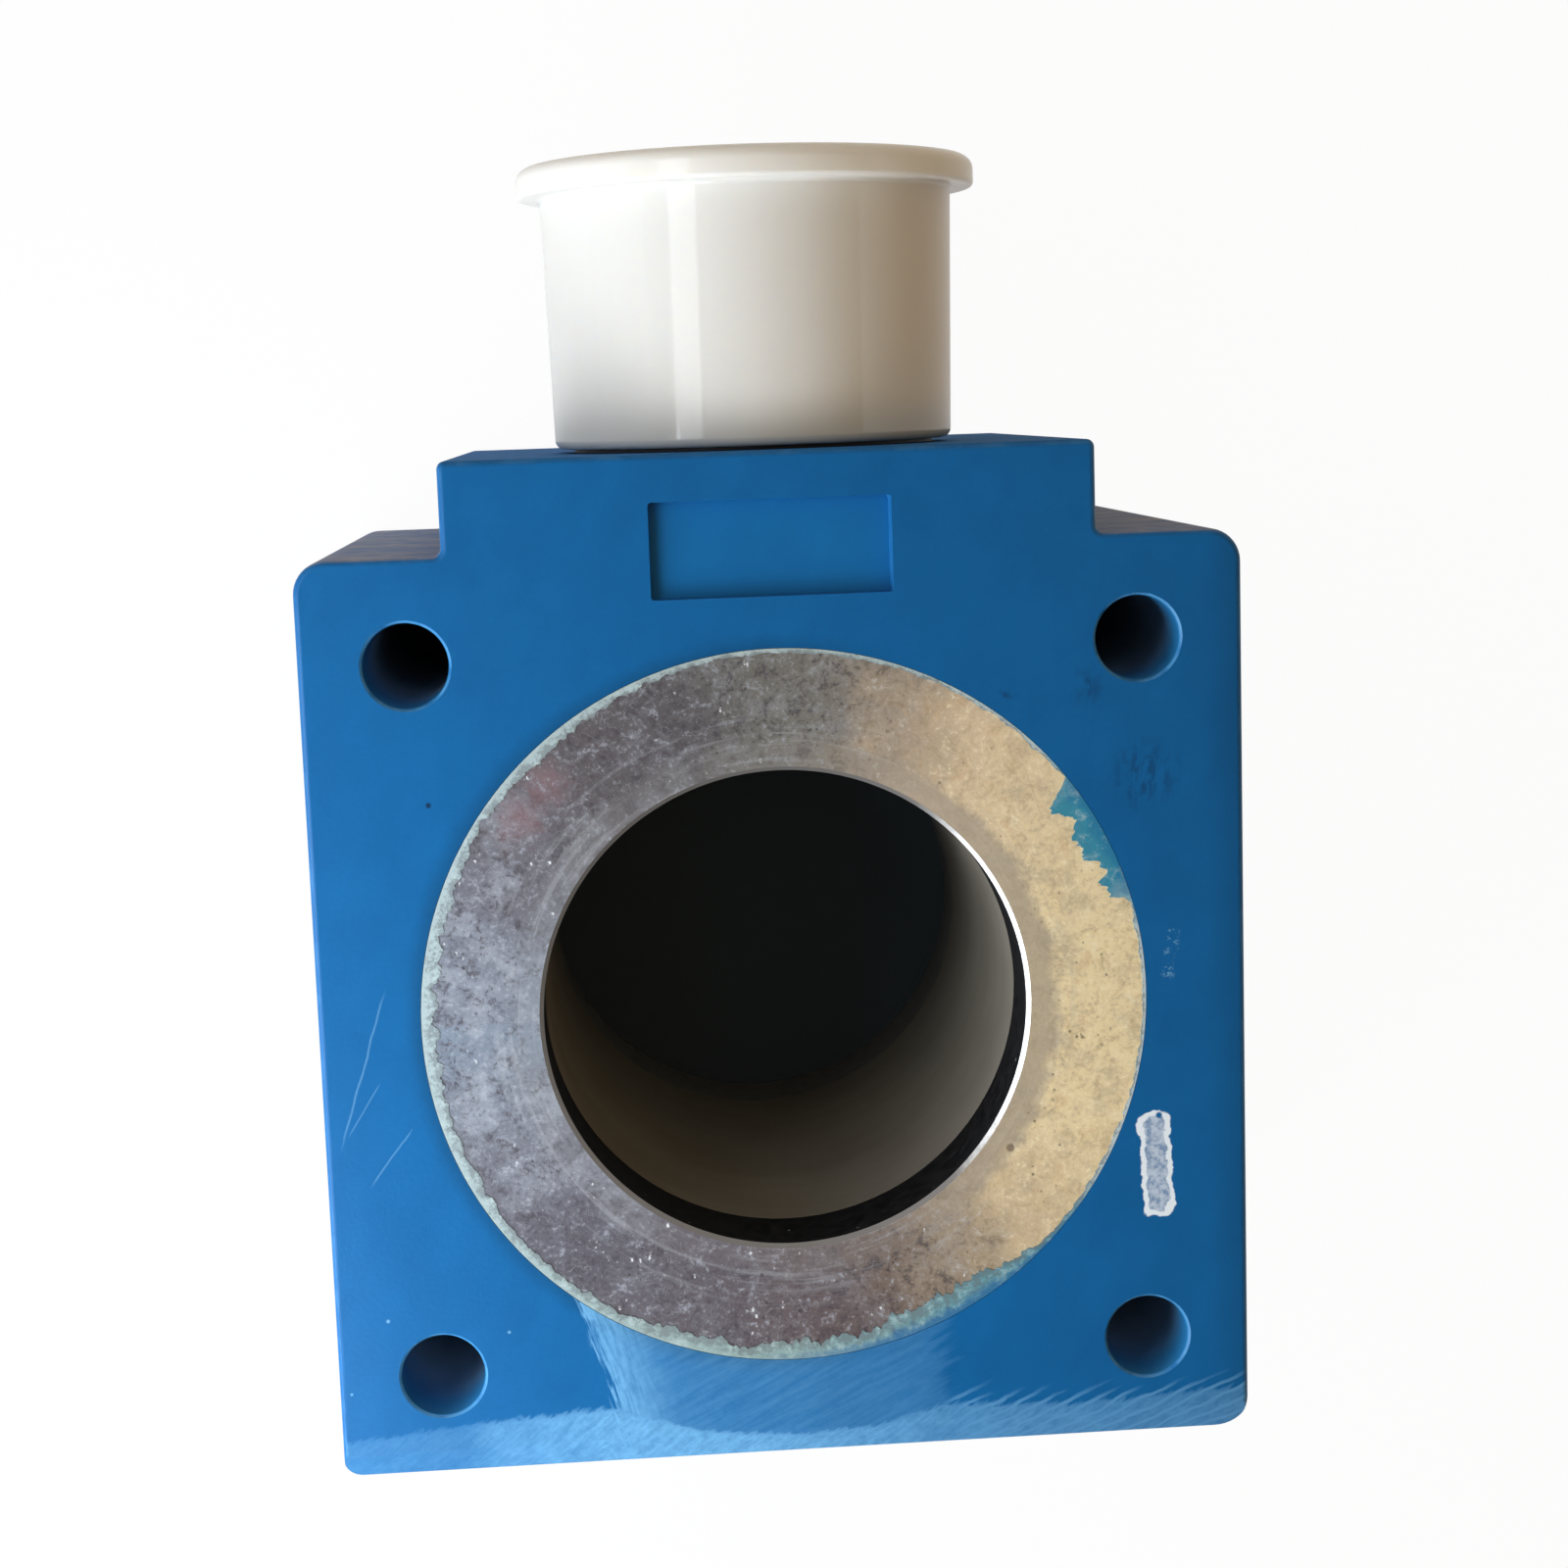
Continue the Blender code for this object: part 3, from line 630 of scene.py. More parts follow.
def bright_chamfer():
    """Cut steel at the bore's edge, dull but for the stretch on the right, which faces the light and is
    painted bright as a highlight.
    """
    made = Finish("bright_chamfer", 0.5)
    mottle = made.grain(1.6, 4.0)
    bright = made.ramp(mottle, (0.3, (0.6, 0.6, 0.59)), (0.6, (0.86, 0.86, 0.85)))
    turn = made.total(made.turn(), made.centred(made.grain(0.4), 0.02))
    # painted highlight: the chamfer's stretch on the right, facing the light
    rubbed = made.both(made.step(turn, 0.36, 0.42), made.step(turn, 0.66, 0.61))
    made.set(base_color=made.blend(rubbed, (0.2, 0.19, 0.18), bright))
    made.set(roughness=made.total(0.22, (mottle, 0.22)))
    made.bump(mottle, 0.2, 0.03)
    return made.material


def mould_flash():
    """A skin of plastic that crept over the ring's edge: thin teal on the gold, pale mint elsewhere."""
    made = Finish("mould_flash", gloss=0.3)
    turn = made.total(made.turn(), made.centred(made.grain(0.3), 0.015))
    colour = made.ramp(
        turn,
        (0.0, (0.4, 0.52, 0.55)),
        (0.13, (0.33, 0.43, 0.44)),
        (0.24, (0.25, 0.36, 0.35)),
        (0.29, (0.17, 0.33, 0.36)),
        (0.34, (0.12, 0.32, 0.38)),
        (0.39, (0.09, 0.27, 0.36)),
        (0.42, (0.5, 0.62, 0.66)),
        (0.53, (0.5, 0.62, 0.66)),
        (0.55, (0.03, 0.27, 0.42)),
        (0.6, (0.035, 0.28, 0.41)),
        (0.62, (0.45, 0.58, 0.62)),
        (0.76, (0.36, 0.45, 0.45)),
        (0.9, (0.4, 0.52, 0.55)),
    )
    inward = made.add("ShaderNodeAttribute", attribute_name="inward").outputs["Fac"]
    mottle = made.grain(0.9, 6.0, 0.76)
    fine = made.grain(2.6, 4.0, 0.7)
    pale = made.both(made.step(mottle, 0.5, 0.66), 0.5)
    colour = made.blend(pale, colour, (0.5, 0.62, 0.64))
    low_right = made.both(made.step(turn, 0.22, 0.3), made.step(turn, 0.41, 0.38))
    upper_right = made.both(made.step(turn, 0.53, 0.55), made.step(turn, 0.61, 0.6))
    worn = made.step(made.total((mottle, 0.6), (fine, 0.4), (inward, -0.14)), 0.47, 0.36)
    worn = made.both(worn, made.maths("MULTIPLY_ADD", upper_right, -0.5, 0.6))
    colour = made.blend(worn, colour, (0.13, 0.15, 0.165))
    root = made.step(made.total(inward, made.centred(mottle, 0.5)), 0.55, 0.05)
    thin = made.either(made.both(low_right, 0.75), made.both(upper_right, 0.45))
    colour = made.blend(made.both(root, thin), colour, (0.004, 0.12, 0.33))
    made.set(base_color=colour)
    made.set(roughness=made.total(0.32, (mottle, 0.25)))
    made.bump(mottle, 0.4, 0.05)
    return made.material


def brown_plastic():
    """The bobbin's moulded wall, with faint lines round it and painted shade that makes it a little darker
    at its mouth.
    """
    made = Finish("brown_plastic", gloss=0.3)
    lines = made.grain(1.0, 3.0, 0.5, made.turned(0.0, (0.03, 0.03, 0.5)))
    cloud = made.grain(0.12)
    tone = made.total((lines, 0.4), (cloud, 0.6))
    colour = made.ramp(tone, (0.35, (0.225, 0.204, 0.165)), (0.65, (0.28, 0.254, 0.208)))
    # painted shade: the bore wall is darkened towards its mouth
    mouth = made.both(made.step(made.z, -22.0, -8.0), 0.35)
    made.set(base_color=made.blend(mouth, colour, (0.14, 0.127, 0.105)))
    made.set(roughness=made.total(0.45, (cloud, 0.2)))
    made.bump(lines, 0.1, 0.03)
    return made.material


def milky_plastic():
    """Soft white plastic that lets light in, painted warmer and darker on one side as shade, pale at its
    flange, with painted shade at its foot.
    """
    made = Finish("milky_plastic", gloss=0.2)
    flow = made.grain(1.0, 2.0, 0.5, made.turned(0.0, (0.4, 0.04, 0.4)))
    cloud = made.grain(0.06, 2.0)
    tone = made.total((flow, 0.4), (cloud, 0.6))
    colour = made.ramp(tone, (0.2, (0.81, 0.79, 0.735)), (0.8, (0.86, 0.845, 0.8)))
    # painted shade: the right side of the cap is painted warm brown
    painted_warm_shade = made.both(made.step(made.x, 1.0, 16.0), 0.75)
    colour = made.blend(painted_warm_shade, colour, (0.7, 0.58, 0.41))
    under = BOSS_TOP + CAP_HEIGHT - CAP_FLANGE
    flange = made.both(made.step(made.y, under - 0.4, under + 0.4), 0.7)
    colour = made.blend(flange, colour, (0.93, 0.91, 0.85))
    foot = made.step(made.y, BOSS_TOP + 5.0, BOSS_TOP + 0.5)
    # painted shade: the cap is darker at its foot by the boss, more on the right
    painted_foot_shade = made.both(foot, made.line(made.x, (-12.0, 0.1), (2.0, 0.6)))
    colour = made.blend(painted_foot_shade, colour, (0.4, 0.41, 0.385))
    made.set(base_color=colour)
    made.set(subsurface_weight=0.25, subsurface_radius=(0.004, 0.003, 0.002), subsurface_scale=1.0)
    made.set(coat_weight=0.32, coat_roughness=0.06)
    made.shader.inputs["Coat IOR"].default_value = 1.9
    made.set(roughness=made.total(0.4, (flow, 0.1)))
    return made.material


def black_plastic():
    """Glass-filled black moulding of the terminal carrier."""
    made = Finish("black_plastic")
    fibre = made.grain(1.6, 4.0, 0.65)
    cloud = made.grain(0.15)
    made.set(base_color=made.ramp(cloud, (0.35, (0.014, 0.014, 0.015)), (0.65, (0.03, 0.03, 0.031))))
    made.set(roughness=made.total(0.38, (fibre, 0.3)))
    made.bump(fibre, 0.2, 0.06)
    return made.material


def metal(name, dark, light, rough):
    """A plated or drawn metal with fine lines along one way and duller patches."""
    made = Finish(name, 0.95)
    lines = made.grain(1.0, 4.0, 0.6, made.turned(0.0, (0.6, 0.6, 3.0)))
    cloud = made.grain(0.3, 4.0)
    tone = made.total((lines, 0.5), (cloud, 0.5))
    made.set(base_color=made.ramp(tone, (0.35, dark), (0.65, light)))
    made.set(roughness=made.total(rough - 0.08, (tone, 0.25)))
    made.bump(lines, 0.15, 0.03)
    return made.material


def wound_copper():
    """Enamelled wire, as close turns along the bore."""
    made = Finish("wound_copper", 0.85)
    wave = made.add("ShaderNodeTexWave", wave_type="BANDS", bands_direction="Z")
    made.feed(wave.inputs["Vector"], made.place)
    made.feed(wave.inputs["Scale"], 0.6)
    turns = wave.outputs["Fac"]
    made.set(base_color=made.ramp(turns, (0.1, (0.3, 0.09, 0.035)), (0.8, (0.62, 0.25, 0.11))))
    made.set(roughness=made.total(0.25, (made.grain(0.5), 0.2)))
    made.bump(turns, 0.6, 0.2)
    return made.material


def covering(name, dark, light, stretch):
    """Tape or woven sleeving, with threads that run one way."""
    made = Finish(name)
    thread = made.grain(1.0, 3.0, 0.6, made.turned(20.0, stretch))
    cloud = made.grain(0.2)
    tone = made.total((thread, 0.6), (cloud, 0.4))
    made.set(base_color=made.ramp(tone, (0.35, dark), (0.65, light)))
    made.set(roughness=made.total(0.5, (thread, 0.25)))
    made.bump(thread, 0.4, 0.08)
    return made.material


def soften(shape, geometry, radius, steps, kind="EDGES"):
    """Rounds edges, or a flat outline's corners where kind is VERTICES."""
    bmesh.ops.bevel(
        shape,
        geom=geometry,
        offset=radius,
        offset_type="OFFSET",
        segments=steps,
        profile=0.5,
        affect=kind,
        material=-1,
    )


def spun(profile, rounds, sides):
    """A closed section of radius and height, its numbered corners rounded, spun about Z."""
    shape = bmesh.new()
    corners = [shape.verts.new((radius, 0.0, height)) for radius, height in profile]
    shape.faces.new(corners)
    for radius, picked in rounds:
        soften(shape, [corners[index] for index in picked], radius, 5, "VERTICES")
    bmesh.ops.delete(shape, geom=shape.faces[:], context="FACES_ONLY")
    on_axis = [edge for edge in shape.edges if all(corner.co.x < 1e-6 for corner in edge.verts)]
    bmesh.ops.delete(shape, geom=on_axis, context="EDGES")
    bmesh.ops.spin(
        shape,
        geom=shape.verts[:] + shape.edges[:],
        axis=(0.0, 0.0, 1.0),
        cent=(0.0, 0.0, 0.0),
        angle=math.tau,
        steps=sides,
        use_merge=True,
    )
    bmesh.ops.remove_doubles(shape, verts=shape.verts, dist=1e-4)
    bmesh.ops.recalc_face_normals(shape, faces=shape.faces)
    return shape


def thicken(shape, height):
    """Draws a flat shape's faces up by height."""
    top = bmesh.ops.extrude_face_region(shape, geom=shape.faces[:])
    moved = [item for item in top["geom"] if isinstance(item, bmesh.types.BMVert)]
    bmesh.ops.translate(shape, vec=(0.0, 0.0, height), verts=moved)
    bmesh.ops.recalc_face_normals(shape, faces=shape.faces)


def drawn_up(outline, low, high):
    """A flat outline in X and Y, drawn up from low to high."""
    shape = bmesh.new()
    shape.faces.new([shape.verts.new((x, y, low)) for x, y in outline])
    thicken(shape, high - low)
    return shape


def put(shape, place, turn=None):
    """Turns a shape about the origin and moves it, from the bore axis and rear face."""
    if turn:
        bmesh.ops.rotate(shape, verts=shape.verts, cent=(0.0, 0.0, 0.0), matrix=turn)
    bmesh.ops.translate(shape, vec=place, verts=shape.verts)
    return shape


def to_boss(shape):
    """Stands a shape that is drawn along Z on the boss, along the way the cap pulls."""
    return put(shape, (0.0, BOSS_TOP, CONNECTOR_Z), Matrix.Rotation(-math.pi / 2, 3, "X"))


def to_object(name, shape):
    """Makes an object from a shape that is in place, in metres."""
    mesh = bpy.data.meshes.new(name)
    shape.to_mesh(mesh)
    shape.free()
    made = bpy.data.objects.new(name, mesh)
    bpy.context.scene.collection.objects.link(made)
    return made


def add_object(name, shape):
    """Makes an object from a shape in millimetres about the bore axis."""
    put(shape, (0.0, BORE_Y, 0.0))
    bmesh.ops.scale(shape, vec=(MM, MM, MM), verts=shape.verts)
    return to_object(name, shape)


def finish_piece(piece, finishes, body, nodes=(), smooth=32.0):
    """Shades a piece, gives it its finishes and ties it to the frame."""
    for finish in finishes:
        piece.data.materials.append(finish)
    piece.data.shade_smooth()
    piece.data.set_sharp_from_angle(angle=math.radians(smooth))
    flat = piece.modifiers.new("flat faces", "WEIGHTED_NORMAL")
    flat.keep_sharp = True
    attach(piece, body)
    if nodes:
        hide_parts(*nodes)


def carve(piece, cutters):
    """Cuts shapes out of a piece for good."""
    tools = [add_object(f"cutter_{index}", shape) for index, shape in enumerate(cutters)]
    for tool in tools:
        cut = piece.modifiers.new(tool.name, "BOOLEAN")
        cut.operation = "DIFFERENCE"
        cut.solver = "EXACT"
        cut.object = tool
    bpy.context.view_layer.update()
    carved = bpy.data.meshes.new_from_object(piece.evaluated_get(bpy.context.evaluated_depsgraph_get()))
    carved.name = piece.name
    piece.modifiers.clear()
    piece.data = carved
    for tool in tools:
        bpy.data.objects.remove(tool)


def block_blank():
    """The block and boss before any hole is cut, with all outer edges rounded."""
    half = BODY_HALF
    right = [(half, -half), (half, half), (BOSS_HALF, half), (BOSS_HALF, BOSS_TOP)]
    outline = right + [(-x, y) for x, y in reversed(right)]
    shape = bmesh.new()
    corners = [shape.verts.new((x, y, 0.0)) for x, y in outline]
    shape.faces.new(corners)
    worn = [corner for corner in corners if corner.co.x == -half and corner.co.y == -half]
    wide = [corner for corner in corners if abs(corner.co.x) == half and corner not in worn]
    narrow = [corner for corner in corners if abs(corner.co.x) != half]
    soften(shape, wide, BODY_CORNER, 10, "VERTICES")
    soften(shape, worn, WORN_CORNER, 8, "VERTICES")
    soften(shape, narrow, BOSS_CORNER, 8, "VERTICES")
    thicken(shape, BODY_LENGTH)
    rims = [edge for edge in shape.edges if abs(edge.verts[0].co.z - edge.verts[1].co.z) < 1e-6]
    soften(shape, rims, EDGE_ROUND, 5)
    return shape


def screw_hole_tool(x, y):
    """A plain hole with a softened lip at both faces."""
    wide = SCREW_R + LIP
    past = BODY_LENGTH + PAST
    profile = [
        (0.0, -PAST),
        (wide, -PAST),
        (wide, 0.0),
        (SCREW_R, LIP),
        (SCREW_R, BODY_LENGTH - LIP),
        (wide, BODY_LENGTH),
        (wide, past),
        (0.0, past),
    ]
    return put(spun(profile, [(LIP * 0.4, (3, 4))], ROUND_SMALL), (x, y, 0.0))


def recess_tool():
    """The shallow name field, with drafted walls and soft corners, left bare."""
    x = RECESS_HALF_WIDTH
    outline = [(-x, RECESS_LOW), (x, RECESS_LOW), (x, RECESS_HIGH), (-x, RECESS_HIGH)]
    shape = drawn_up(outline, 0.0, RECESS_DEPTH + 1.0)
    put(shape, (0.0, 0.0, BODY_LENGTH - RECESS_DEPTH))
    floor = [corner for corner in shape.verts if corner.co.z < BODY_LENGTH - RECESS_DEPTH / 2]
    middle = Vector((0.0, (RECESS_LOW + RECESS_HIGH) / 2, 0.0))
    for corner in floor:
        corner.co -= (corner.co - middle).to_2d().to_3d().normalized() * RECESS_DRAFT
    upright = [edge for edge in shape.edges if abs(edge.verts[0].co.z - edge.verts[1].co.z) > RECESS_DEPTH]
    soften(shape, upright, 0.25, 3)
    return shape


def shave_tool():
    """The wedge that wear has taken off the foot of the mating face."""
    past = BODY_HALF + PAST
    start = SHAVE_START - BODY_HALF
    wedge = [(start, 0.0), (-past, -(past + start) * SHAVE_SLOPE), (-past, PAST), (start, PAST)]
    shape = drawn_up(wedge, -past, past)
    put(shape, (0.0, 0.0, BODY_LENGTH), Matrix(((0.0, 0.0, 1.0), (1.0, 0.0, 0.0), (0.0, 1.0, 0.0))))
    return shape


def build_block(finish):
    block = add_object("moulded_block", block_blank())
    bore = spun_rod(RING_R + RING_GAP, -PAST, BODY_LENGTH + PAST, ROUND_LARGE)
    tools = [bore, recess_tool(), shave_tool()]
    for x in (-SCREW_PLACE, SCREW_PLACE):
        for y in (-SCREW_PLACE, SCREW_PLACE):
            tools.append(screw_hole_tool(x, y))
    tools.append(to_boss(spun_rod(POCKET_R, -POCKET_DEPTH, PAST, ROUND_MIDDLE)))
    carve(block, tools)
    finish_piece(block, [finish], "coil", ["encapsulation"])


def spun_rod(radius, low, high, sides):
    return spun([(0.0, low), (radius, low), (radius, high), (0.0, high)], [], sides)


def ring_section():
    """A pole ring's section, its outer face just under height 0."""
    return [
        (BORE_R + BORE_CHAMFER, -RING_SINK),
        (BORE_R, -RING_SINK - BORE_CHAMFER),
        (BORE_R, -RING_THICK),
        (RING_SHOULDER_R, -RING_THICK),
        (RING_SHOULDER_R, -RING_FLANGE),
        (RING_R, -RING_FLANGE),
        (RING_R, -RING_SINK),
    ]


def build_ring(name, shape, node, finishes):
    """A pole ring with a plated face, a bright chamfer and a dark bore wall."""
    ring = add_object(name, shape)
    finish_piece(ring, finishes, "coil", [node], 25.0)
    for face in ring.data.polygons:
        away = (Vector((face.center.x, face.center.y - BORE_Y * MM))).length / MM
        if away < BORE_R + 0.02:
            face.material_index = BORE_FINISH
        elif away < BORE_R + BORE_CHAMFER and abs(face.normal.z) < 0.9:
            face.material_index = CHAMFER_FINISH


def build_rings(zinc, bright, black, dull):
    front = put(spun(ring_section(), [], ROUND_LARGE), (0.0, 0.0, BODY_LENGTH))
    build_ring("front_ring", front, "front_pole_ring", [zinc, bright, black])
    turned = Matrix.Rotation(math.pi, 3, "Y")
    rear = put(spun(ring_section(), [], ROUND_LARGE), (0.0, 0.0, 0.0), turned)
    build_ring("rear_ring", rear, "rear_pole_ring", [zinc, bright, dull])


def flash_width(turn):
    """How far the flash reaches in over the ring at a turn in degrees."""
    for (start, begin), (end, finish) in zip(FLASH_REACH, FLASH_REACH[1:]):
        if start <= turn <= end:
            wide = begin + (finish - begin) * (turn - start) / (end - start)
    around = Vector((math.cos(math.radians(turn)), math.sin(math.radians(turn)), 0.0))
    wobble = 0.35 * noise.noise(around * 22.0)
    wobble += 0.2 * noise.noise(around * 60.0)
    wobble += 0.12 * noise.noise(around * 140.0)
    return max(FLASH_LEAST, wide * (1.0 + wobble) + 0.25 * wobble)


def build_flash(finish):
    """The ragged skin of plastic over the ring's outer edge; inward grows from its root to its edge."""
    shape = bmesh.new()
    inward = shape.verts.layers.float.new("inward")
    bmesh.ops.create_circle(shape, segments=FLASH_SIDES, radius=RING_R)
    inner = bmesh.ops.create_circle(shape, segments=FLASH_SIDES, radius=RING_R - 0.1)["verts"]
    for corner in inner:
        turn = math.degrees(math.atan2(corner.co.y, corner.co.x))
        corner.co *= (RING_R - flash_width(turn)) / corner.co.length
        corner[inward] = 1.0
    bmesh.ops.bridge_loops(shape, edges=shape.edges[:])
    thicken(shape, FLASH_THICK)
    put(shape, (0.0, 0.0, BODY_LENGTH - RING_SINK))
    flash = add_object("rim_flash", shape)
    finish_piece(flash, [finish], "coil")


def build_bobbin(finish):
    low, high, rim = BOBBIN_LOW.z - BOBBIN_SEAT, BOBBIN_HIGH.z + BOBBIN_SEAT, BOBBIN_HIGH.x
    profile = [
        (BORE_R, low),
        (rim, low),
        (rim, low + BOBBIN_FLANGE),
        (BARREL_R, low + BOBBIN_FLANGE),
        (BARREL_R, high - BOBBIN_FLANGE),
        (rim, high - BOBBIN_FLANGE),
        (rim, high),
        (BORE_R, high),
    ]
    bobbin = add_object("bobbin_liner", spun(profile, [(0.2, (1, 2, 5, 6))], ROUND_LARGE))
    finish_piece(bobbin, [finish], "coil", ["bobbin"])


def build_cap(finish):
    """The push-on cap: rounded mouth, slightly flared wall, pull flange and a shallow dish in its end."""
    under = CAP_HEIGHT - CAP_FLANGE
    ceiling = CAP_HEIGHT - CAP_END
    profile = [
        (0.0, ceiling),
        (CAP_IN, ceiling),
        (CAP_IN, CAP_GAP),
        (CAP_OUT, CAP_GAP),
        (CAP_FLARED, under),
        (CAP_RIM, under),
        (CAP_RIM, CAP_HEIGHT),
        (CAP_DISH_LIP, CAP_HEIGHT),
        (CAP_DISH_R, CAP_HEIGHT - CAP_DISH_DEPTH),
        (0.0, CAP_HEIGHT - CAP_DISH_DEPTH),
    ]
    rounds = [(0.7, (3,)), (0.4, (4,)), (0.35, (5,)), (1.05, (6,)), (0.3, (1, 2, 7, 8))]
    cap = add_object("push_on_cap", to_boss(spun(profile, rounds, ROUND_MIDDLE)))
    finish_piece(cap, [finish], "cap", ["dust_cap"])


def refined(name, node, edge, finish):
    """A CAD node's own shape with its seams merged and its sharp edges softened."""
    shape = bmesh.new()
    shape.from_mesh(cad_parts[node].data)
    bmesh.ops.remove_doubles(shape, verts=shape.verts, dist=1e-6)
    bmesh.ops.dissolve_limit(shape, angle_limit=math.radians(1.0), verts=shape.verts, edges=shape.edges)
    inner = [item for item in shape.edges if len(item.link_faces) == 2]
    sharp = [item for item in inner if item.calc_face_angle() > math.radians(40)]
    soften(shape, sharp, edge * MM, 2)
    piece = to_object(name, shape)
    finish_piece(piece, [finish], "coil", [node])


def build_terminals(black, tin, brass):
    refined("terminal_base", "terminal_carrier", 0.12, black)
    for name in ("live", "neutral", "earth"):
        refined(f"{name}_tab", f"{name}_blade", 0.08, tin)
    refined("screw_bush", "screw_insert", 0.15, brass)


def paint_nodes(finishes):
    """Gives the CAD nodes that stay their finish."""
    for node, finish in finishes.items():
        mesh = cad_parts[node].data
        mesh.materials.clear()
        mesh.materials.append(finish)


def pale_floor():
    """A pale floor that reads as white and keeps the shadow, with a dark patch of painted shadow where the
    coil covers it.
    """
    made = Finish("pale_floor")
    made.tree.nodes.remove(made.shader)
    away = made.either(made.maths("ABSOLUTE", made.x), made.maths("ABSOLUTE", made.y))
    clear = made.maths("GREATER_THAN", away, BODY_HALF - PATCH_INSET)
    matt = made.add("ShaderNodeBsdfDiffuse")
    # painted shadow: the floor under the coil is dark, as seen through the bore and holes
    made.feed(matt.inputs["Color"], made.blend(clear, (0.08, 0.105, 0.125), (0.86, 0.86, 0.86)))
    path = made.add("ShaderNodeLightPath").outputs
    seen = made.either(path["Is Camera Ray"], path["Is Glossy Ray"], path["Is Transmission Ray"])
    both = made.add("ShaderNodeMixShader")
    made.feed(both.inputs["Fac"], made.both(seen, clear, FLOOR_WHITE))
    made.feed(both.inputs[1], matt.outputs["BSDF"])
    made.feed(both.inputs[2], made.add("ShaderNodeEmission").outputs["Emission"])
    made.feed(made.tree.nodes["Material Output"].inputs["Surface"], both.outputs["Shader"])
    return made.material


def add_floor():
    shape = bmesh.new()
    bmesh.ops.create_grid(shape, x_segments=1, y_segments=1, size=FLOOR_HALF)
    floor = to_object("floor", shape)
    floor.data.materials.append(pale_floor())


def add_backdrop():
    """A plain white wall round the coil, which the eye and reflections see and the light passes."""
    white = bpy.data.materials.new("white_wall")
    white.use_nodes = True
    tree = white.node_tree
    tree.nodes.clear()
    out = tree.nodes.new("ShaderNodeOutputMaterial")
    tree.links.new(tree.nodes.new("ShaderNodeEmission").outputs["Emission"], out.inputs["Surface"])
    shape = bmesh.new()
    bmesh.ops.create_circle(shape, segments=ROUND_SMALL, radius=WALL_AWAY)
    wall = bmesh.ops.extrude_edge_only(shape, edges=shape.edges[:])
    raised = [item for item in wall["geom"] if isinstance(item, bmesh.types.BMVert)]
    bmesh.ops.translate(shape, vec=(0.0, 0.0, WALL_HEIGHT), verts=raised)
    backdrop = to_object("backdrop", shape)
    backdrop.data.materials.append(white)
    backdrop.visible_diffuse = False
    backdrop.visible_shadow = False


def add_panel(name, place, aim, width, height, power, colour):
    """A soft box at place, in millimetres, that faces aim."""
    lamp = bpy.data.lights.new(name, "AREA")
    lamp.shape = "RECTANGLE"
    lamp.size = width * MM
    lamp.size_y = height * MM
    lamp.energy = power
    lamp.color = colour
    panel = bpy.data.objects.new(name, lamp)
    panel.location = Vector(place) * MM
    panel.rotation_euler = (Vector(aim) - Vector(place)).to_track_quat("-Z", "Y").to_euler()
    panel.visible_camera = False
    bpy.context.scene.collection.objects.link(panel)


def add_light():
    bluish = (0.95, 1.0, 1.07)
    add_panel("window_panel", (-100.0, -60.0, 106.0), (0.0, -5.0, 45.0), 160.0, 110.0, 0.31, bluish)
    cool = (0.96, 1.0, 1.04)
    add_panel("side_panel", (-113.0, 58.0, 184.0), (0.0, 42.0, 31.0), 95.0, 50.0, 0.051, cool)
    world = bpy.data.worlds.new("studio")
    bpy.context.scene.world = world
    world.use_nodes = True
    tree = world.node_tree
    shade = tree.nodes["Background"]
    split = tree.nodes.new("ShaderNodeSeparateXYZ")
    tree.links.new(tree.nodes.new("ShaderNodeTexCoord").outputs["Generated"], split.inputs["Vector"])
    side = tree.nodes.new("ShaderNodeMapRange")
    side.inputs["From Min"].default_value = -0.6
    side.inputs["From Max"].default_value = 0.7
    tree.links.new(split.outputs["X"], side.inputs["Value"])
    around = tree.nodes.new("ShaderNodeValToRGB")
    points = around.color_ramp.elements
    points[0].color = (0.26, 0.26, 0.26, 1.0)
    points[1].color = (0.33, 0.22, 0.098, 1.0)
    tree.links.new(side.outputs["Result"], around.inputs["Fac"])
    tree.links.new(around.outputs["Color"], shade.inputs["Color"])
    height = tree.nodes.new("ShaderNodeMapRange")
    height.inputs["From Min"].default_value = -1.0
    height.inputs["To Min"].default_value = 0.3
    height.inputs["To Max"].default_value = 1.7
    tree.links.new(split.outputs["Y"], height.inputs["Value"])
    tree.links.new(height.outputs["Result"], shade.inputs["Strength"])


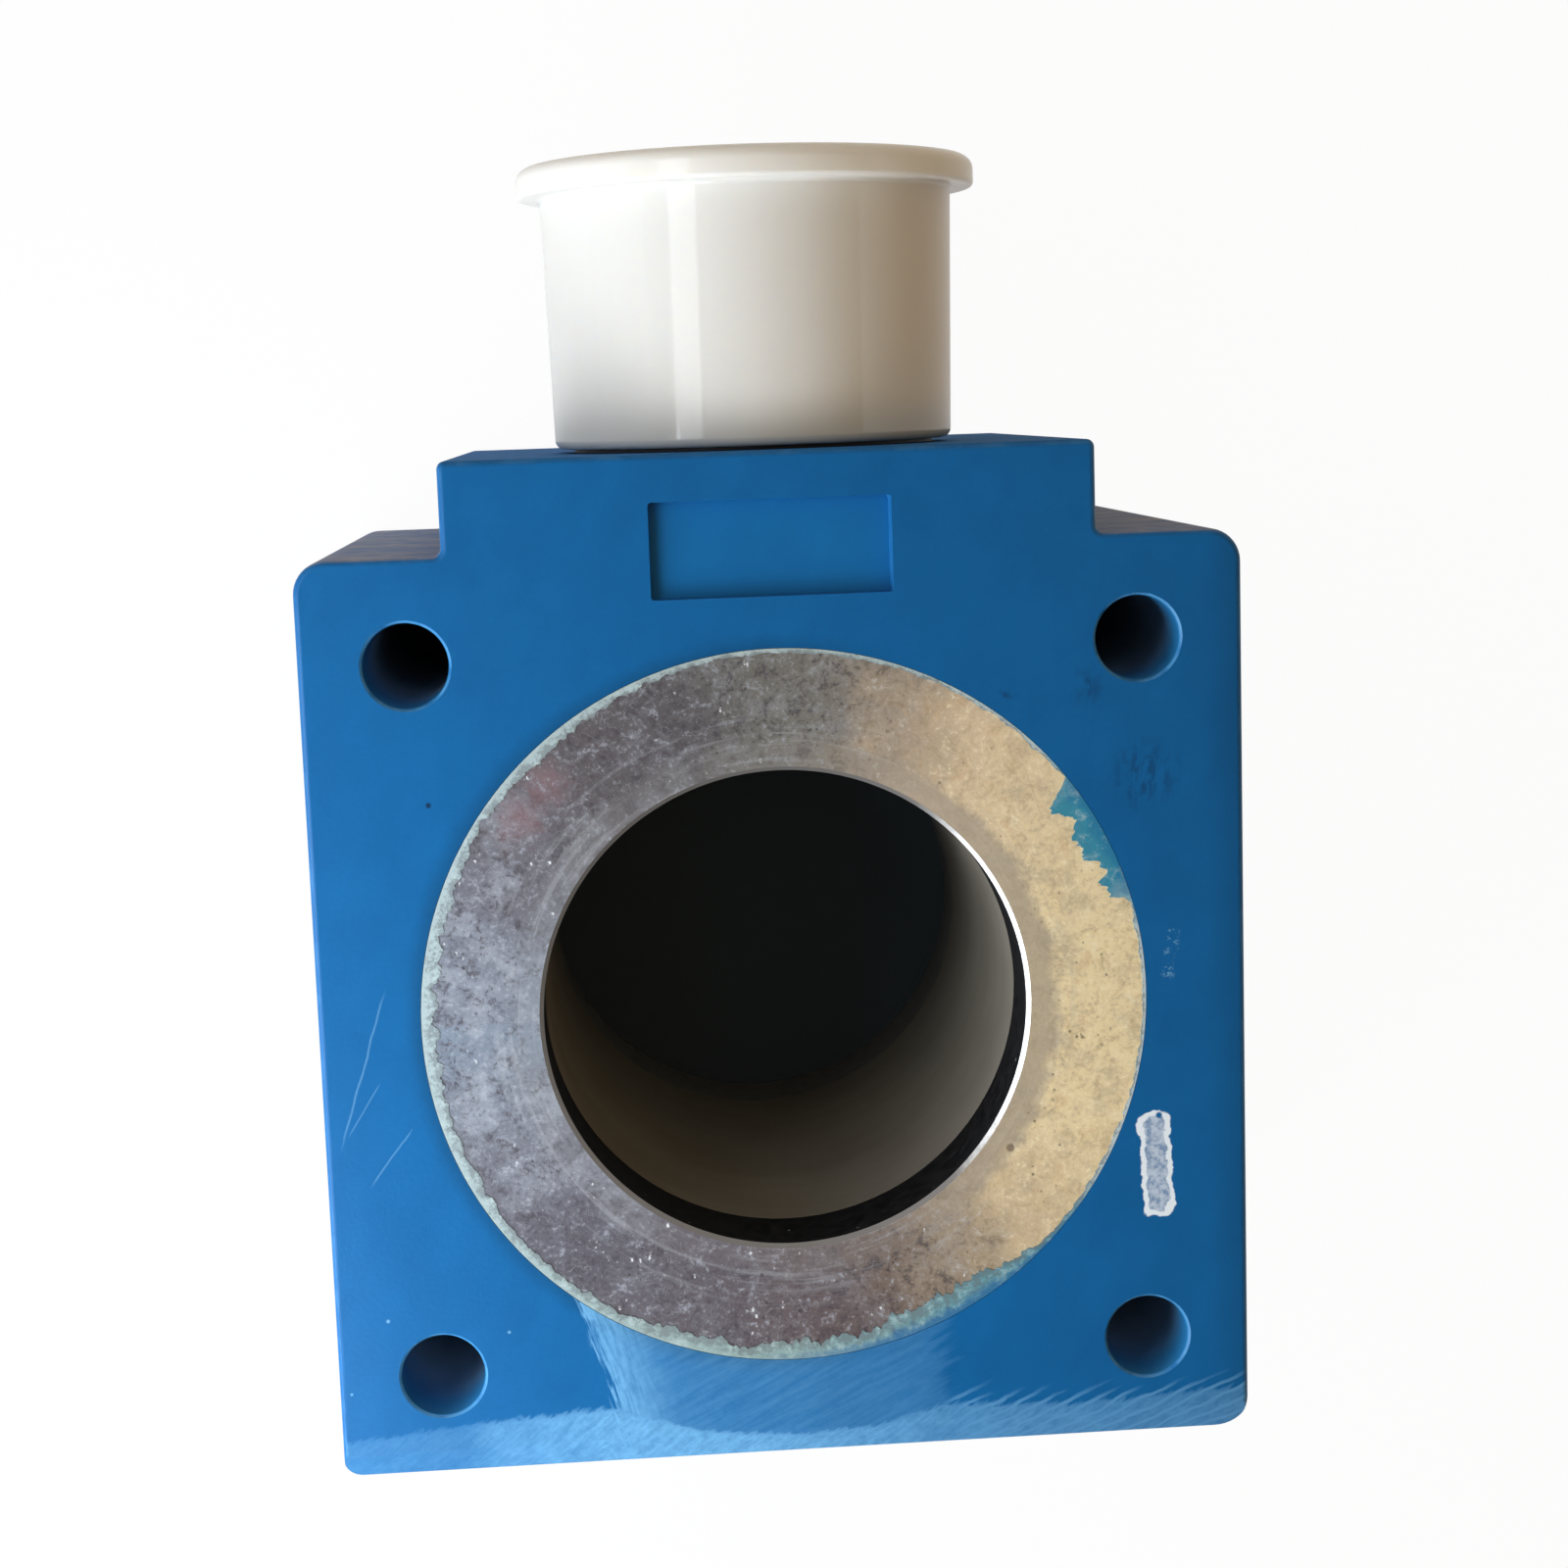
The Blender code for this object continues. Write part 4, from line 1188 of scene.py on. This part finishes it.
def add_camera():
    lens = bpy.data.cameras.new("camera")
    lens.lens = CAMERA_LENS
    lens.sensor_width = CAMERA_SENSOR
    lens.clip_start = 0.01
    camera = bpy.data.objects.new("camera", lens)
    place = Vector(CAMERA_PLACE) + Vector((0.0, BORE_Y, 0.0))
    back = (Vector(CAMERA_PLACE) - Vector(CAMERA_AIM)).normalized()
    roll = math.radians(CAMERA_ROLL)
    right = Vector((math.sin(roll), math.cos(roll), 0.0)).cross(back).normalized()
    up = back.cross(right)
    camera.matrix_world = Matrix.Translation(place * MM) @ Matrix((right, up, back)).transposed().to_4x4()
    bpy.context.scene.collection.objects.link(camera)
    bpy.context.scene.camera = camera


def main():
    add_camera()
    zinc, bright = zinc_ring(), bright_chamfer()
    blackened = dark_bore("blackened_bore", (0.004, 0.004, 0.005), (0.014, 0.014, 0.015))
    dull = dark_bore("dull_bore", (0.22, 0.22, 0.21), (0.3, 0.3, 0.285))
    tin = metal("tinned_brass", (0.5, 0.49, 0.46), (0.72, 0.71, 0.68), 0.3)
    brass = metal("plain_brass", (0.5, 0.33, 0.11), (0.72, 0.52, 0.22), 0.32)
    steel = metal("bare_steel", (0.2, 0.2, 0.21), (0.36, 0.36, 0.37), 0.42)
    copper = wound_copper()
    tape = covering("amber_tape", (0.3, 0.18, 0.04), (0.5, 0.34, 0.1), (0.3, 2.0, 2.0))
    sleeving = covering("yellow_sleeving", (0.42, 0.29, 0.08), (0.62, 0.47, 0.18), (3.0, 3.0, 3.0))
    build_block(blue_plastic())
    build_rings(zinc, bright, blackened, dull)
    build_flash(mould_flash())
    build_bobbin(brown_plastic())
    build_cap(milky_plastic())
    build_terminals(black_plastic(), tin, brass)
    paint_nodes(
        {
            "yoke_tube": steel,
            "winding": copper,
            "winding_wrap": tape,
            "start_lead": copper,
            "finish_lead": copper,
            "start_sleeve": sleeving,
            "finish_sleeve": sleeving,
            "start_ferrule": tin,
            "finish_ferrule": tin,
            "earth_strap": brass,
            "earth_rivet": steel,
        }
    )
    add_floor()
    add_backdrop()
    add_light()
    bpy.context.scene.view_settings.view_transform = "Standard"


main()
